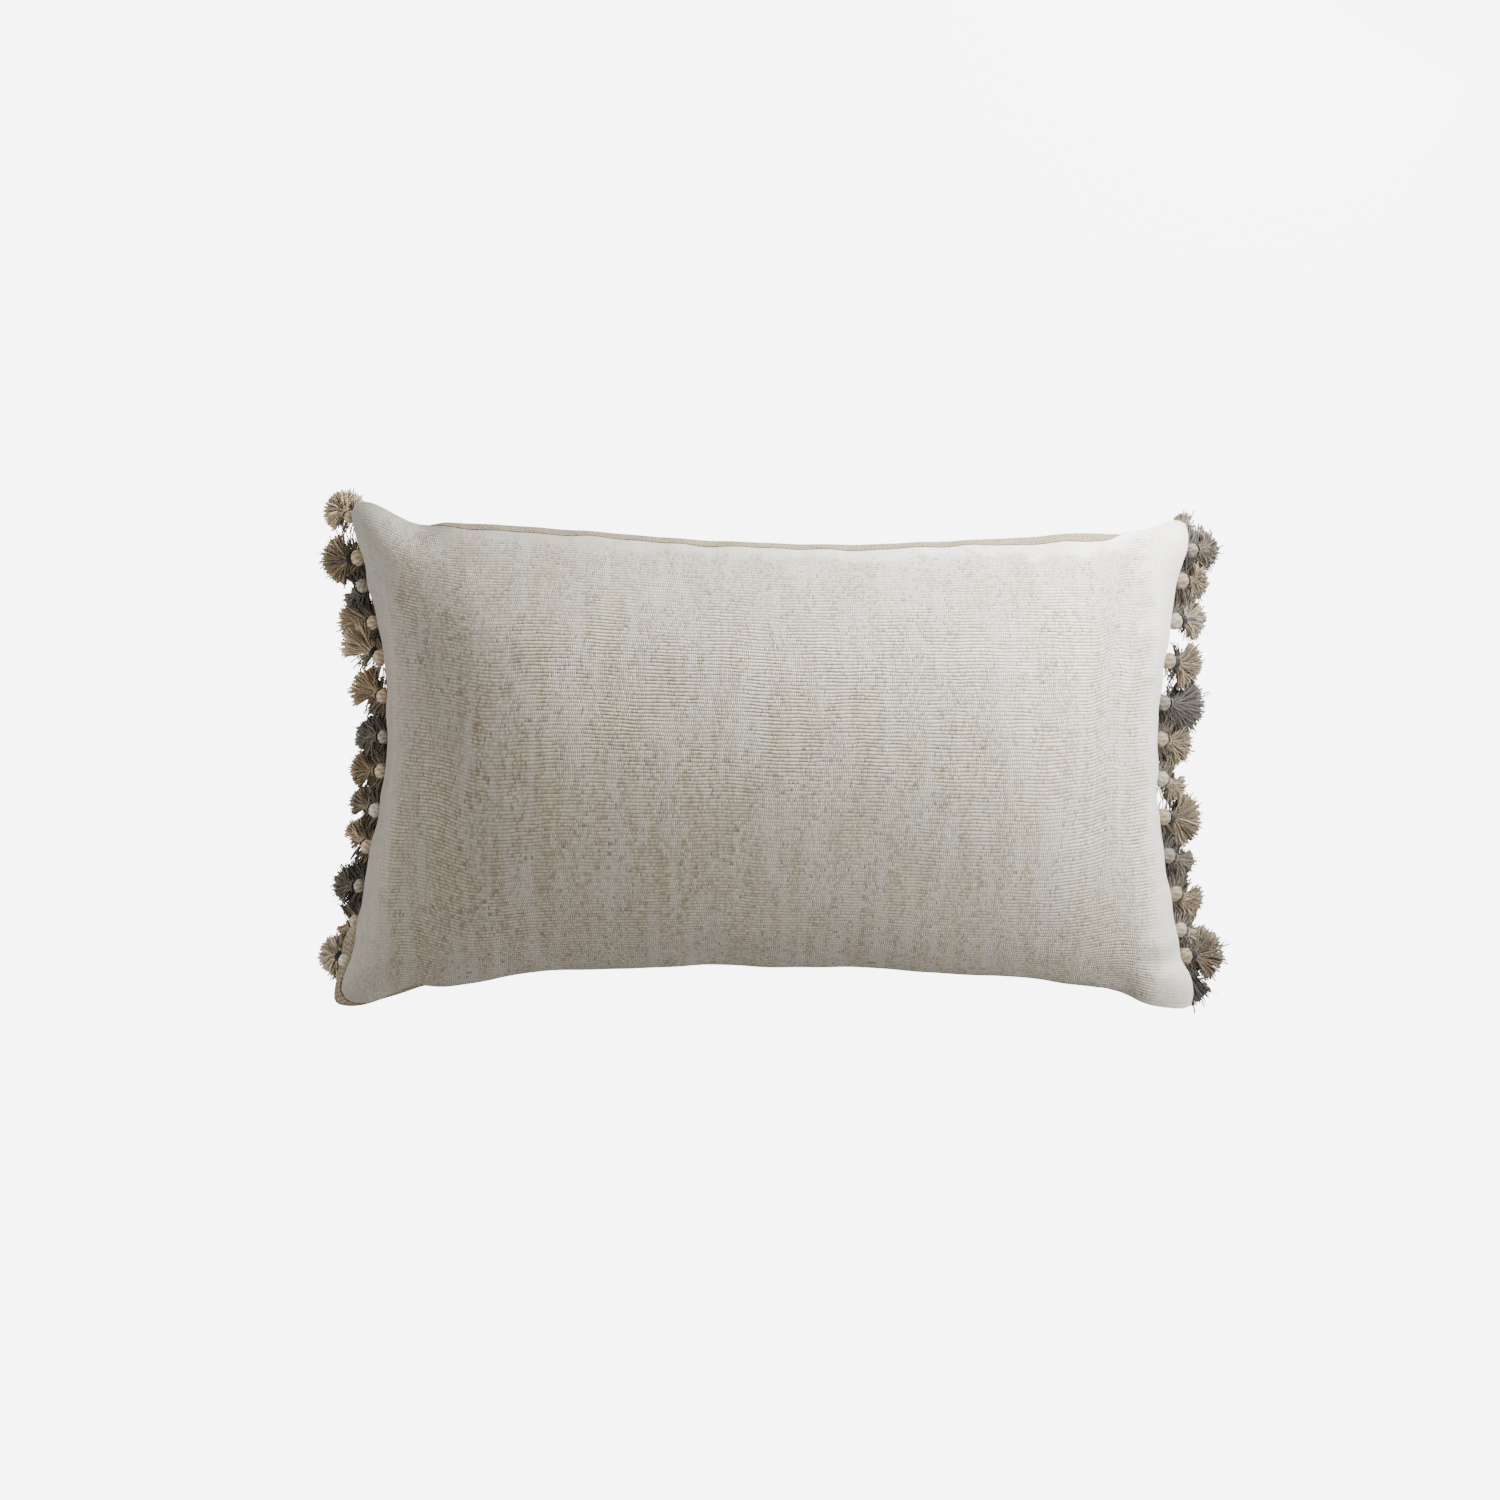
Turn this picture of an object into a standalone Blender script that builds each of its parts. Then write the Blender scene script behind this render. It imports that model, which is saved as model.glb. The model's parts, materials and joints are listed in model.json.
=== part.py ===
"""Lumbar throw pillow with tasselled short sides, lying on its back.

Metres, +Z up. +X runs along the pillow's length, +Y across it, and the front faces +Z.
The origin is the middle of the footprint, on the surface that the pillow lies on.
"""

import math

import bmesh
import bpy
from mathutils import Matrix, Vector

# Cover: a 508 x 305 mm (20 x 12 inch) cover, filled
CORNER_Y = 0.150
EDGE_PULL = 0.0225
CROWN = 0.0715
SINK = 0.012
STRAIGHT = 0.58
PINCH = 1.5
FABRIC = 0.001
RIM = 0.0016
SEAM_Z = CROWN - SINK

# How far each short side stands from the middle: at its waist, where the waist is as a share of the half width,
# and how much more it gains towards the top and the bottom corner, with the power that it gains by
LEFT_SIDE = {"waist": 0.2290, "place": 0.05, "top": (0.0298, 1.82), "bottom": (0.0270, 1.05)}
RIGHT_SIDE = {"waist": 0.2320, "place": 0.0, "top": (0.0245, 1.70), "bottom": (0.0234, 2.00)}

# How far the seams turn round the edge, as angles of the section, over the straight middle
TOP_ROLL = 0.26
BOTTOM_ROLL = 0.25

# Insert
CASING_INSET = 0.014
CASING_DROP = 0.0022
CASING_CLOTH = 0.0006
CASING_RIM = 0.0012
CASING_FLOOR = 0.0015
FILL_INSET = 0.017
FILL_DROP = 0.0038
FILL_FLOOR = 0.0025

# Panel grid
COLUMNS = 20
STRAIGHT_COLUMNS = 4
ROWS = 14

# Trim tape in each short seam
TAPE_IN = 0.009
TAPE_OUT = 0.001
TAPE_THICK = 0.0006
TAPE_HALF_LENGTH = 0.146

# Tassels: hanging cord, wrapped head, neck, skirt
GAP = 0.0003
TASSEL_SPAN = 0.145
TASSEL_DROOP = math.radians(30)
TASSEL_SIDES = 10
CORD_RADIUS = 0.0009
CORD_END = 0.0010
HEAD_RADIUS = 0.0042
HEAD_CENTRE = 0.0054
HEAD_RINGS = 5
NECK_RADIUS = 0.0026
NECK_START = 0.0093
NECK_END = 0.0110
SKIRT = (
    (0.0118, 0.0040, 0.0030),
    (0.0160, 0.0070, 0.0040),
    (0.0215, 0.0088, 0.0046),
    (0.0262, 0.0094, 0.0046),
    (0.0270, 0.0078, 0.0034),
)
WRAP_WIRE = 0.00055

# Concealed zip in the bottom seam, in its own frame: x along the seam, y inward, z towards the front panel
ZIP_HALF_LENGTH = 0.130
ZIP_TRAVEL_END = 0.120
ZIP_DEPTH = 0.0050
COIL_DEPTH = 0.0016
COIL_INNER = 0.0006
COIL_OUTER = 0.0020
ZIP_TAPE_THICK = 0.0004
ZIP_TAPE_INNER = 0.0023
ZIP_TAPE_OUTER = 0.0068
STOP_LENGTH = 0.002
SLIDER_HALF_LENGTH = 0.0042
SLIDER_HALF_WIDTH = 0.0022
SLIDER_PLATE = 0.0008
SLIDER_GAP = 0.0004
DIVIDER_HALF = 0.00025
NECK_PLATE_HALF = 0.0005
BAIL_BASE = 0.0013
BAIL_TOP = 0.0039
BAIL_HALF_LENGTH = 0.0023
BAIL_BAR = 0.0008
PULL_AXIS = 0.0022
PULL_LENGTH = 0.0225
PULL_HALF_WIDTH = 0.0027
PULL_HALF_THICK = 0.0005
WINDOW_LENGTH = 0.0042
WINDOW_HALF_WIDTH = 0.0013

YARNS = {
    "ivory": (0.61, 0.55, 0.46),
    "beige": (0.50, 0.40, 0.27),
    "tan": (0.37, 0.27, 0.165),
    "brown": (0.25, 0.18, 0.11),
    "taupe": (0.20, 0.165, 0.125),
    "grey": (0.14, 0.125, 0.11),
}

# Yarn of each tassel from the top corner down, and whether its neck has a dark wrap
LEFT_TASSELS = (
    ("beige", False),
    ("brown", True),
    ("grey", False),
    ("brown", False),
    ("beige", True),
    ("tan", False),
    ("grey", False),
    ("brown", False),
    ("taupe", False),
    ("tan", False),
    ("grey", False),
    ("brown", False),
    ("ivory", True),
    ("brown", False),
)
RIGHT_TASSELS = (
    ("tan", False),
    ("taupe", False),
    ("tan", False),
    ("ivory", True),
    ("tan", True),
    ("grey", False),
    ("tan", False),
    ("beige", False),
    ("tan", True),
    ("taupe", False),
    ("tan", False),
    ("ivory", False),
    ("brown", True),
    ("grey", False),
)


def clear_scene():
    for obj in list(bpy.data.objects):
        bpy.data.objects.remove(obj)


def new_collection(name):
    collection = bpy.data.collections.new(name)
    bpy.context.scene.collection.children.link(collection)
    return collection


def material(name, colour, roughness=0.9, metallic=0.0):
    made = bpy.data.materials.new(name)
    made.use_nodes = True
    made.diffuse_color = (*colour, 1.0)
    shader = made.node_tree.nodes["Principled BSDF"]
    shader.inputs["Base Color"].default_value = (*colour, 1.0)
    shader.inputs["Roughness"].default_value = roughness
    shader.inputs["Metallic"].default_value = metallic
    return made


def mesh_object(name, bm, finish, collection):
    mesh = bpy.data.meshes.new(name)
    bmesh.ops.recalc_face_normals(bm, faces=bm.faces)
    bm.to_mesh(mesh)
    bm.free()
    mesh.shade_smooth()
    mesh.set_sharp_from_angle(angle=math.radians(50))
    mesh.materials.append(finish)
    obj = bpy.data.objects.new(name, mesh)
    collection.objects.link(obj)
    return obj


# ---- The filled shape ----


def end_share(u):
    """0 over the straight middle of the pillow, rising to 1 at the short side."""
    return max(0.0, (abs(u) - STRAIGHT) / (1.0 - STRAIGHT))


def half_width(u):
    return CORNER_Y - EDGE_PULL * (1.0 - end_share(u) ** 1.5)


def side_reach(side, v):
    """How far a short side stands from the middle at v, which runs from -1 at the zip's edge to 1 at the top."""
    shape = LEFT_SIDE if side < 0 else RIGHT_SIDE
    away = v - shape["place"]
    gain, power = shape["top" if away > 0.0 else "bottom"]
    return shape["waist"] + gain * abs(away) ** power


def skin_point(u, angle, inset=0.0, drop=0.0, floor=0.0, rise=0.0):
    """A point of the filled form: u along the length, angle round the section from the front crown.

    inset and drop bring it inside the cover, and rise lifts it off the seam plane.
    """
    v = math.sin(angle)
    lift = math.copysign(abs(math.cos(angle)) ** PINCH, math.cos(angle))
    plump = max(0.0, 1.0 - end_share(u) ** 2.2) ** 0.6
    x = u * (side_reach(u, v) - inset)
    y = (half_width(u) - inset) * v
    z = SEAM_Z + rise + (CROWN - drop) * plump * lift
    return Vector((x, y, max(z, floor)))


def column_place(s):
    """Grid columns from -1 to 1: a few over the straight middle, closer together towards the short sides."""
    edge = STRAIGHT_COLUMNS / COLUMNS
    if abs(s) <= edge:
        return STRAIGHT * s / edge
    share = math.sin(0.5 * math.pi * (abs(s) - edge) / (1.0 - edge))
    return math.copysign(STRAIGHT + (1.0 - STRAIGHT) * share, s)


def add_panel(bm, start, end, **form):
    """A grid over the form between two seams, whose angles are functions of u."""
    grid = bmesh.ops.create_grid(bm, x_segments=COLUMNS, y_segments=ROWS, size=1.0)
    for vert in grid["verts"]:
        u = column_place(vert.co.x)
        share = 0.5 * (vert.co.y + 1.0)
        angle = start(u) + (end(u) - start(u)) * share
        vert.co = skin_point(u, angle, **form)


def top_seam(u):
    return 0.5 * math.pi - TOP_ROLL * (1.0 - end_share(u) ** 2)


def bottom_seam(u):
    return -0.5 * math.pi - BOTTOM_ROLL * (1.0 - end_share(u) ** 2)


def shell_panel(name, finish, collection, start, end, thickness, **form):
    """One sewn panel: an open sheet over the form, thickened inward."""
    bm = bmesh.new()
    add_panel(bm, start, end, **form)
    panel = mesh_object(name, bm, finish, collection)
    outward = panel.data.polygons[len(panel.data.polygons) // 2].normal.z
    if outward * form["rise"] < 0.0:
        panel.data.flip_normals()
    thicken = panel.modifiers.new("cloth", "SOLIDIFY")
    thicken.thickness = thickness
    thicken.offset = -1.0
    return panel


def make_cover(collection):
    front = material("front_chenille", (0.66, 0.62, 0.56), 0.75)
    back = material("back_linen", (0.45, 0.36, 0.26), 0.95)
    shell_panel("cover_front_panel", front, collection, bottom_seam, top_seam, FABRIC, rise=RIM)

    def far_seam(u):
        return bottom_seam(u) + 2.0 * math.pi

    shell_panel("cover_back_panel", back, collection, top_seam, far_seam, FABRIC, rise=-RIM)


def make_insert(collection):
    cotton = material("casing_cotton", (0.80, 0.79, 0.76), 0.9)
    fibre = material("fibre_filling", (0.86, 0.86, 0.85), 1.0)
    form = {"inset": CASING_INSET, "drop": CASING_DROP, "floor": CASING_FLOOR}
    quarter = 0.5 * math.pi
    halves = (
        ("insert_casing_front", -quarter, CASING_RIM),
        ("insert_casing_back", quarter, -CASING_RIM),
    )
    for name, begin, rise in halves:
        shell_panel(
            name,
            cotton,
            collection,
            lambda u, begin=begin: begin,
            lambda u, begin=begin: begin + math.pi,
            CASING_CLOTH,
            rise=rise,
            **form,
        )
    bm = bmesh.new()
    for begin in (-quarter, quarter):
        add_panel(
            bm,
            lambda u, begin=begin: begin,
            lambda u, begin=begin: begin + math.pi,
            inset=FILL_INSET,
            drop=FILL_DROP,
            floor=FILL_FLOOR,
        )
    bmesh.ops.remove_doubles(bm, verts=bm.verts, dist=0.00001)
    mesh_object("filling", bm, fibre, collection)


# ---- Tasselled trim ----


def trim_tape(name, side, finish, collection):
    """The woven tape in one short seam, from inside the seam to just outside it."""
    bm = bmesh.new()
    grid = bmesh.ops.create_grid(bm, x_segments=2, y_segments=24, size=1.0)
    for vert in grid["verts"]:
        y = TAPE_HALF_LENGTH * vert.co.y
        across = 0.5 * (vert.co.x + 1.0)
        seam = side_reach(side, y / CORNER_Y)
        vert.co = Vector((side * (seam - TAPE_IN + (TAPE_IN + TAPE_OUT) * across), y, SEAM_Z))
    tape = mesh_object(name, bm, finish, collection)
    thicken = tape.modifiers.new("weave", "SOLIDIFY")
    thicken.thickness = TAPE_THICK
    thicken.offset = 0.0


def tassel_sections():
    """(distance from the hinge, half width, half depth) of the tassel's rings."""
    rings = [(GAP, CORD_RADIUS, CORD_RADIUS), (CORD_END, CORD_RADIUS, CORD_RADIUS)]
    for step in range(HEAD_RINGS):
        turn = math.pi * (step + 0.8) / (HEAD_RINGS + 0.6)
        radius = HEAD_RADIUS * math.sin(turn)
        rings.append((HEAD_CENTRE - HEAD_RADIUS * math.cos(turn), radius, radius))
    rings.append((NECK_START, NECK_RADIUS, NECK_RADIUS))
    rings.append((NECK_END, NECK_RADIUS, NECK_RADIUS))
    rings.extend(SKIRT)
    return rings


def tassel_mesh(finish, name):
    """Cord, head, neck and fanned skirt as one loft along +X, with its hinge at the origin."""
    bm = bmesh.new()
    loops = []
    for along, wide, deep in tassel_sections():
        turns = [2.0 * math.pi * k / TASSEL_SIDES for k in range(TASSEL_SIDES)]
        loops.append([bm.verts.new((along, wide * math.cos(a), deep * math.sin(a))) for a in turns])
    for near, far in zip(loops, loops[1:]):
        for k in range(TASSEL_SIDES):
            after = (k + 1) % TASSEL_SIDES
            bm.faces.new((near[k], near[after], far[after], far[k]))
    bm.faces.new(loops[0])
    bm.faces.new(loops[-1])
    bmesh.ops.recalc_face_normals(bm, faces=bm.faces)
    mesh = bpy.data.meshes.new(name)
    bm.to_mesh(mesh)
    bm.free()
    mesh.shade_smooth()
    mesh.materials.append(finish)
    return mesh


def wrap_mesh(finish):
    """The thread wound round a tassel's neck, as a ring about X."""
    reach = NECK_RADIUS + GAP + WRAP_WIRE
    bpy.ops.mesh.primitive_torus_add(
        major_radius=reach, minor_radius=WRAP_WIRE, major_segments=14, minor_segments=6
    )
    ring = bpy.context.object
    mesh = ring.data
    mesh.name = "neck_wrap"
    mesh.transform(Matrix.Rotation(0.5 * math.pi, 4, "Y"))
    mesh.materials.append(finish)
    bpy.data.objects.remove(ring)
    return mesh


def make_side(word, side, tassels, meshes, wrap, collection):
    for number, (yarn, wrapped) in enumerate(tassels, start=1):
        y = TASSEL_SPAN * (1.0 - 2.0 * (number - 1) / (len(tassels) - 1))
        hinge_x = side * (side_reach(side, y / CORNER_Y) + TAPE_OUT)
        name = f"tassel_{word}_{number:02d}"
        tassel = bpy.data.objects.new(name, meshes[yarn])
        tassel.location = (hinge_x, y, SEAM_Z)
        tassel.rotation_euler = (0.0, TASSEL_DROOP, 0.0 if side > 0 else math.pi)
        collection.objects.link(tassel)
        if wrapped:
            ring = bpy.data.objects.new(name + "_neck_wrap", wrap)
            ring.parent = tassel
            ring.location = (0.5 * (NECK_START + NECK_END), 0.0, 0.0)
            collection.objects.link(ring)


def make_trim(collection):
    tape = material("trim_tape", (0.47, 0.39, 0.29), 0.95)
    trim_tape("trim_tape_left", -1.0, tape, collection)
    trim_tape("trim_tape_right", 1.0, tape, collection)
    meshes = {}
    for yarn, colour in YARNS.items():
        meshes[yarn] = tassel_mesh(material("yarn_" + yarn, colour, 0.85), "tassel_" + yarn)
    wrap = wrap_mesh(material("wrap_thread", (0.012, 0.013, 0.018), 0.7))
    make_side("left", -1.0, LEFT_TASSELS, meshes, wrap, collection)
    make_side("right", 1.0, RIGHT_TASSELS, meshes, wrap, collection)


# ---- Concealed zip ----


def zip_frame(collection):
    """An empty on the bottom seam: local y points into the pillow and local z towards the front panel."""
    angle = BOTTOM_ROLL
    y = -half_width(0.0) * math.cos(angle)
    z = SEAM_Z - CROWN * math.sin(angle) ** PINCH
    run = half_width(0.0) * math.sin(angle)
    fall = CROWN * PINCH * math.sin(angle) ** (PINCH - 1.0) * math.cos(angle)
    frame = bpy.data.objects.new("zip_frame", None)
    frame.empty_display_size = 0.02
    frame.location = (0.0, y, z)
    frame.rotation_euler = (math.atan2(run, fall), 0.0, 0.0)
    collection.objects.link(frame)
    return frame


def box_mesh_object(name, low, high, finish, collection, frame, bevel=0.0):
    bm = bmesh.new()
    cube = bmesh.ops.create_cube(bm, size=1.0)
    low = Vector(low)
    high = Vector(high)
    for vert in cube["verts"]:
        vert.co = low + Vector(c * (b - a) for c, a, b in zip(vert.co + Vector((0.5, 0.5, 0.5)), low, high))
    box = mesh_object(name, bm, finish, collection)
    box.parent = frame
    if bevel:
        soften = box.modifiers.new("soften", "BEVEL")
        soften.width = bevel
        soften.segments = 2
    return box


def outline_mesh(outlines, half_thickness, tilt):
    """A flat piece from closed outlines in local XY, turned by tilt, as a welded mesh."""
    curve = bpy.data.curves.new("outline", "CURVE")
    curve.dimensions = "2D"
    curve.fill_mode = "BOTH"
    curve.extrude = half_thickness
    for points in outlines:
        spline = curve.splines.new("POLY")
        spline.points.add(len(points) - 1)
        for place, (a, b) in zip(spline.points, points):
            place.co = (a, b, 0.0, 1.0)
        spline.use_cyclic_u = True
    holder = bpy.data.objects.new("outline", curve)
    bpy.context.scene.collection.objects.link(holder)
    graph = bpy.context.evaluated_depsgraph_get()
    mesh = bpy.data.meshes.new_from_object(holder.evaluated_get(graph))
    bpy.data.objects.remove(holder)
    bm = bmesh.new()
    bm.from_mesh(mesh)
    bmesh.ops.remove_doubles(bm, verts=bm.verts, dist=0.00001)
    bmesh.ops.transform(bm, matrix=tilt, verts=bm.verts)
    return bm


def make_zip_chain(metal, collection, frame):
    tape = material("zip_tape", (0.52, 0.45, 0.36), 0.9)
    nylon = material("zip_coil", (0.50, 0.44, 0.36), 0.45)
    for word, side in (("front", 1.0), ("back", -1.0)):
        spans = (
            ("zip_tape_" + word, ZIP_TAPE_INNER, ZIP_TAPE_OUTER, ZIP_TAPE_THICK, tape, 0.0),
            ("zip_coil_" + word, COIL_INNER, COIL_OUTER, COIL_DEPTH, nylon, 0.0003),
        )
        for name, inner, outer, depth, finish, bevel in spans:
            low_z, high_z = sorted((side * inner, side * outer))
            low = (-ZIP_HALF_LENGTH, ZIP_DEPTH - 0.5 * depth, low_z)
            high = (ZIP_HALF_LENGTH, ZIP_DEPTH + 0.5 * depth, high_z)
            box_mesh_object(name, low, high, finish, collection, frame, bevel)
    for word, side in (("open", -1.0), ("closed", 1.0)):
        near = side * (ZIP_HALF_LENGTH + GAP)
        far = near + side * STOP_LENGTH
        low = (min(near, far), ZIP_DEPTH - 0.5 * COIL_DEPTH, -COIL_OUTER)
        high = (max(near, far), ZIP_DEPTH + 0.5 * COIL_DEPTH, COIL_OUTER)
        box_mesh_object("zip_stop_" + word + "_end", low, high, metal, collection, frame, 0.0003)


def slider_outline():
    """The slider's section across the zip, as (y, z): two plates, the divider between them, and the neck."""
    inner_face = ZIP_DEPTH + 0.5 * COIL_DEPTH + SLIDER_GAP
    outer_face = ZIP_DEPTH - 0.5 * COIL_DEPTH - SLIDER_GAP
    half = [
        (-BAIL_BASE, NECK_PLATE_HALF),
        (outer_face - SLIDER_PLATE, NECK_PLATE_HALF),
        (outer_face - SLIDER_PLATE, SLIDER_HALF_WIDTH),
        (outer_face, SLIDER_HALF_WIDTH),
        (outer_face, DIVIDER_HALF),
        (inner_face, DIVIDER_HALF),
        (inner_face, SLIDER_HALF_WIDTH),
        (inner_face + SLIDER_PLATE, SLIDER_HALF_WIDTH),
    ]
    return half + [(y, -z) for y, z in reversed(half)]


def rectangle(low_a, high_a, low_b, high_b):
    return [(low_a, low_b), (high_a, low_b), (high_a, high_b), (low_a, high_b)]


def make_slider(metal, collection, helpers, frame):
    """The slider grips the coils from both sides, and its neck carries the bail outside the seam."""
    along_x = Matrix(((0, 0, 1, 0), (1, 0, 0, 0), (0, 1, 0, 0), (0, 0, 0, 1)))
    across_z = Matrix.Identity(4)
    body = outline_mesh([slider_outline()], SLIDER_HALF_LENGTH, along_x)
    slider = mesh_object("zip_slider", body, metal, collection)
    hole = BAIL_HALF_LENGTH - BAIL_BAR
    bail = outline_mesh(
        [
            rectangle(-BAIL_HALF_LENGTH, BAIL_HALF_LENGTH, -BAIL_TOP, -0.5 * BAIL_BASE),
            rectangle(-hole, hole, -BAIL_TOP + BAIL_BAR, -BAIL_BASE),
        ],
        NECK_PLATE_HALF * 0.9,
        across_z,
    )
    arch = mesh_object("bail", bail, metal, helpers)
    arch.hide_render = True
    arch.display_type = "WIRE"
    join = slider.modifiers.new("bail", "BOOLEAN")
    join.operation = "UNION"
    join.object = arch
    for obj in (slider, arch):
        obj.parent = frame
        obj.location = (ZIP_TRAVEL_END, 0.0, 0.0)


def make_pull_tab(metal, collection, frame):
    """A flat tab whose end bar turns under the bail. It lies along the seam, back over the closed zip."""
    corner = 0.0015
    outer = [
        (PULL_HALF_THICK, -PULL_HALF_WIDTH),
        (PULL_HALF_THICK, PULL_HALF_WIDTH),
        (-PULL_LENGTH + corner, PULL_HALF_WIDTH),
        (-PULL_LENGTH, PULL_HALF_WIDTH - corner),
        (-PULL_LENGTH, corner - PULL_HALF_WIDTH),
        (-PULL_LENGTH + corner, -PULL_HALF_WIDTH),
    ]
    window = rectangle(-WINDOW_LENGTH, -PULL_HALF_THICK, -WINDOW_HALF_WIDTH, WINDOW_HALF_WIDTH)
    lying = Matrix.Rotation(0.5 * math.pi, 4, "X")
    bm = outline_mesh([outer, window], PULL_HALF_THICK, lying)
    tab = mesh_object("zip_pull_tab", bm, metal, collection)
    tab.parent = frame
    tab.location = (ZIP_TRAVEL_END, -PULL_AXIS, 0.0)


clear_scene()
pillow = new_collection("throw_pillow")
cutters = new_collection("joining_helpers")
cutters.hide_render = True
make_cover(pillow)
make_insert(pillow)
make_trim(pillow)
zip_origin = zip_frame(pillow)
brass = material("zip_metal", (0.42, 0.38, 0.31), 0.35, 1.0)
make_zip_chain(brass, pillow, zip_origin)
make_slider(brass, pillow, cutters, zip_origin)
make_pull_tab(brass, pillow, zip_origin)
bpy.context.view_layer.update()
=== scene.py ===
"""Looks of the tasselled lumbar pillow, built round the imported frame. Metres, +Z up, seen from above.

The cover is sewn from two flat panels, filled by a pressure simulation, and has lips along its seams.
Each tassel is a corded, wound head over a fan of cut yarn, and it rides on its own body.
"""

import json
import math

import bpy
import numpy as np
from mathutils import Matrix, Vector


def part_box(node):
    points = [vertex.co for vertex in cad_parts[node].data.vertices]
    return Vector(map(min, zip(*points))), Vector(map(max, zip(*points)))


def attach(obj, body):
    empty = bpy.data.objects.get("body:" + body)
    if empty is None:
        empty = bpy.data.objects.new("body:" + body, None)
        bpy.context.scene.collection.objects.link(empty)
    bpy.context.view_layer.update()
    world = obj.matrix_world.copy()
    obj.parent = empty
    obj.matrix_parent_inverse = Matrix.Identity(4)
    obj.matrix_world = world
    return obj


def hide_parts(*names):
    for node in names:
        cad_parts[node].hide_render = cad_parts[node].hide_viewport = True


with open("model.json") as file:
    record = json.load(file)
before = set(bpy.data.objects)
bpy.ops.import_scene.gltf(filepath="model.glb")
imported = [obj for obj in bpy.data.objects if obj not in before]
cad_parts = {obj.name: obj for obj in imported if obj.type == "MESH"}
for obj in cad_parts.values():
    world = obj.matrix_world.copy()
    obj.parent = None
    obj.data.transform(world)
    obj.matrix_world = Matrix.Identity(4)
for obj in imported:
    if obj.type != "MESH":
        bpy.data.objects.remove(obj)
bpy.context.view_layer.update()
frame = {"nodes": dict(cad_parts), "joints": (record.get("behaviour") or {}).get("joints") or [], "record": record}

JOINTS = {joint["name"]: joint for joint in frame["joints"]}
TAPE_LOW, TAPE_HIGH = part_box("trim_tape_left")
SEAM_Z = 0.5 * (TAPE_LOW.z + TAPE_HIGH.z)
FRONT_LOW, FRONT_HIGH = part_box("cover_front_panel")
CROWN = FRONT_HIGH.z - SEAM_Z

# ---- Cover pattern and outline ----

PATTERN_LENGTH = 0.508
PATTERN_WIDTH = 0.305
COLUMNS = 84
ROWS = 50
STRAIGHT = 0.50
PINCH = 1.5

# The filled outline: (x, y) along the long edges and (y, x) along the short ones
TOP_EDGE = (
    (-0.2495, 0.1498),
    (-0.2430, 0.1515),
    (-0.2310, 0.1470),
    (-0.2240, 0.1430),
    (-0.2170, 0.1390),
    (-0.2095, 0.1380),
    (-0.1890, 0.1395),
    (-0.1500, 0.1375),
    (-0.1000, 0.1335),
    (-0.0400, 0.1290),
    (0.0350, 0.1262),
    (0.1000, 0.1280),
    (0.1500, 0.1305),
    (0.1900, 0.1333),
    (0.2200, 0.1330),
    (0.2335, 0.1380),
    (0.2415, 0.1410),
    (0.2470, 0.1400),
    (0.2492, 0.1378),
)
BOTTOM_EDGE = (
    (-0.2560, -0.1476),
    (-0.2505, -0.1505),
    (-0.2395, -0.1500),
    (-0.2215, -0.1425),
    (-0.1830, -0.1405),
    (-0.1395, -0.1335),
    (-0.0750, -0.1310),
    (-0.0245, -0.1285),
    (-0.0075, -0.1300),
    (0.0525, -0.1305),
    (0.1070, -0.1350),
    (0.1465, -0.1370),
    (0.1740, -0.1395),
    (0.2110, -0.1450),
    (0.2235, -0.1500),
    (0.2475, -0.1545),
    (0.2525, -0.1520),
)
LEFT_EDGE = (
    (-0.1476, -0.2560),
    (-0.1440, -0.2583),
    (-0.1395, -0.2586),
    (-0.1315, -0.2561),
    (-0.1180, -0.2520),
    (-0.0880, -0.2458),
    (-0.0580, -0.2404),
    (-0.0280, -0.2348),
    (0.0080, -0.2302),
    (0.0320, -0.2306),
    (0.0550, -0.2325),
    (0.0790, -0.2368),
    (0.0980, -0.2414),
    (0.1110, -0.2433),
    (0.1212, -0.2471),
    (0.1298, -0.2498),
    (0.1390, -0.2522),
    (0.1450, -0.2524),
    (0.1498, -0.2495),
)
RIGHT_EDGE = (
    (-0.1520, 0.2525),
    (-0.1480, 0.2540),
    (-0.1434, 0.2544),
    (-0.1332, 0.2518),
    (-0.1244, 0.2474),
    (-0.1180, 0.2466),
    (-0.0880, 0.2400),
    (-0.0580, 0.2356),
    (-0.0280, 0.2328),
    (0.0000, 0.2320),
    (0.0280, 0.2330),
    (0.0530, 0.2372),
    (0.0922, 0.2419),
    (0.1067, 0.2449),
    (0.1170, 0.2479),
    (0.1221, 0.2508),
    (0.1289, 0.2515),
    (0.1345, 0.2508),
    (0.1378, 0.2492),
)

# Where the seams lie, as arc beyond the outline: the top one on the front, the bottom one on the back
TOP_ROLL = 0.27
TOP_ROLL_ENDS = (-0.205, 0.208)
BOTTOM_ROLL = 0.25

# Simulation
PRESSURE = 4.0
FRAMES = 24
MOST_MOVE = 0.012
EDGE_HELD = 0.012
EDGE_FREE = 0.045
SIDE_HELD = 0.004
SIDE_FREE = 0.030

# Seam lips
LIP_ROWS = (0.0012, 0.0034)
LIP_DEPTHS = (0.0013, 0.0050)
SEAM_HALF_GAP = 0.00025
ZIP_HALF_GAP = 0.0009
PUCKER = 0.00045
PUCKER_REACH = 0.010

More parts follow.
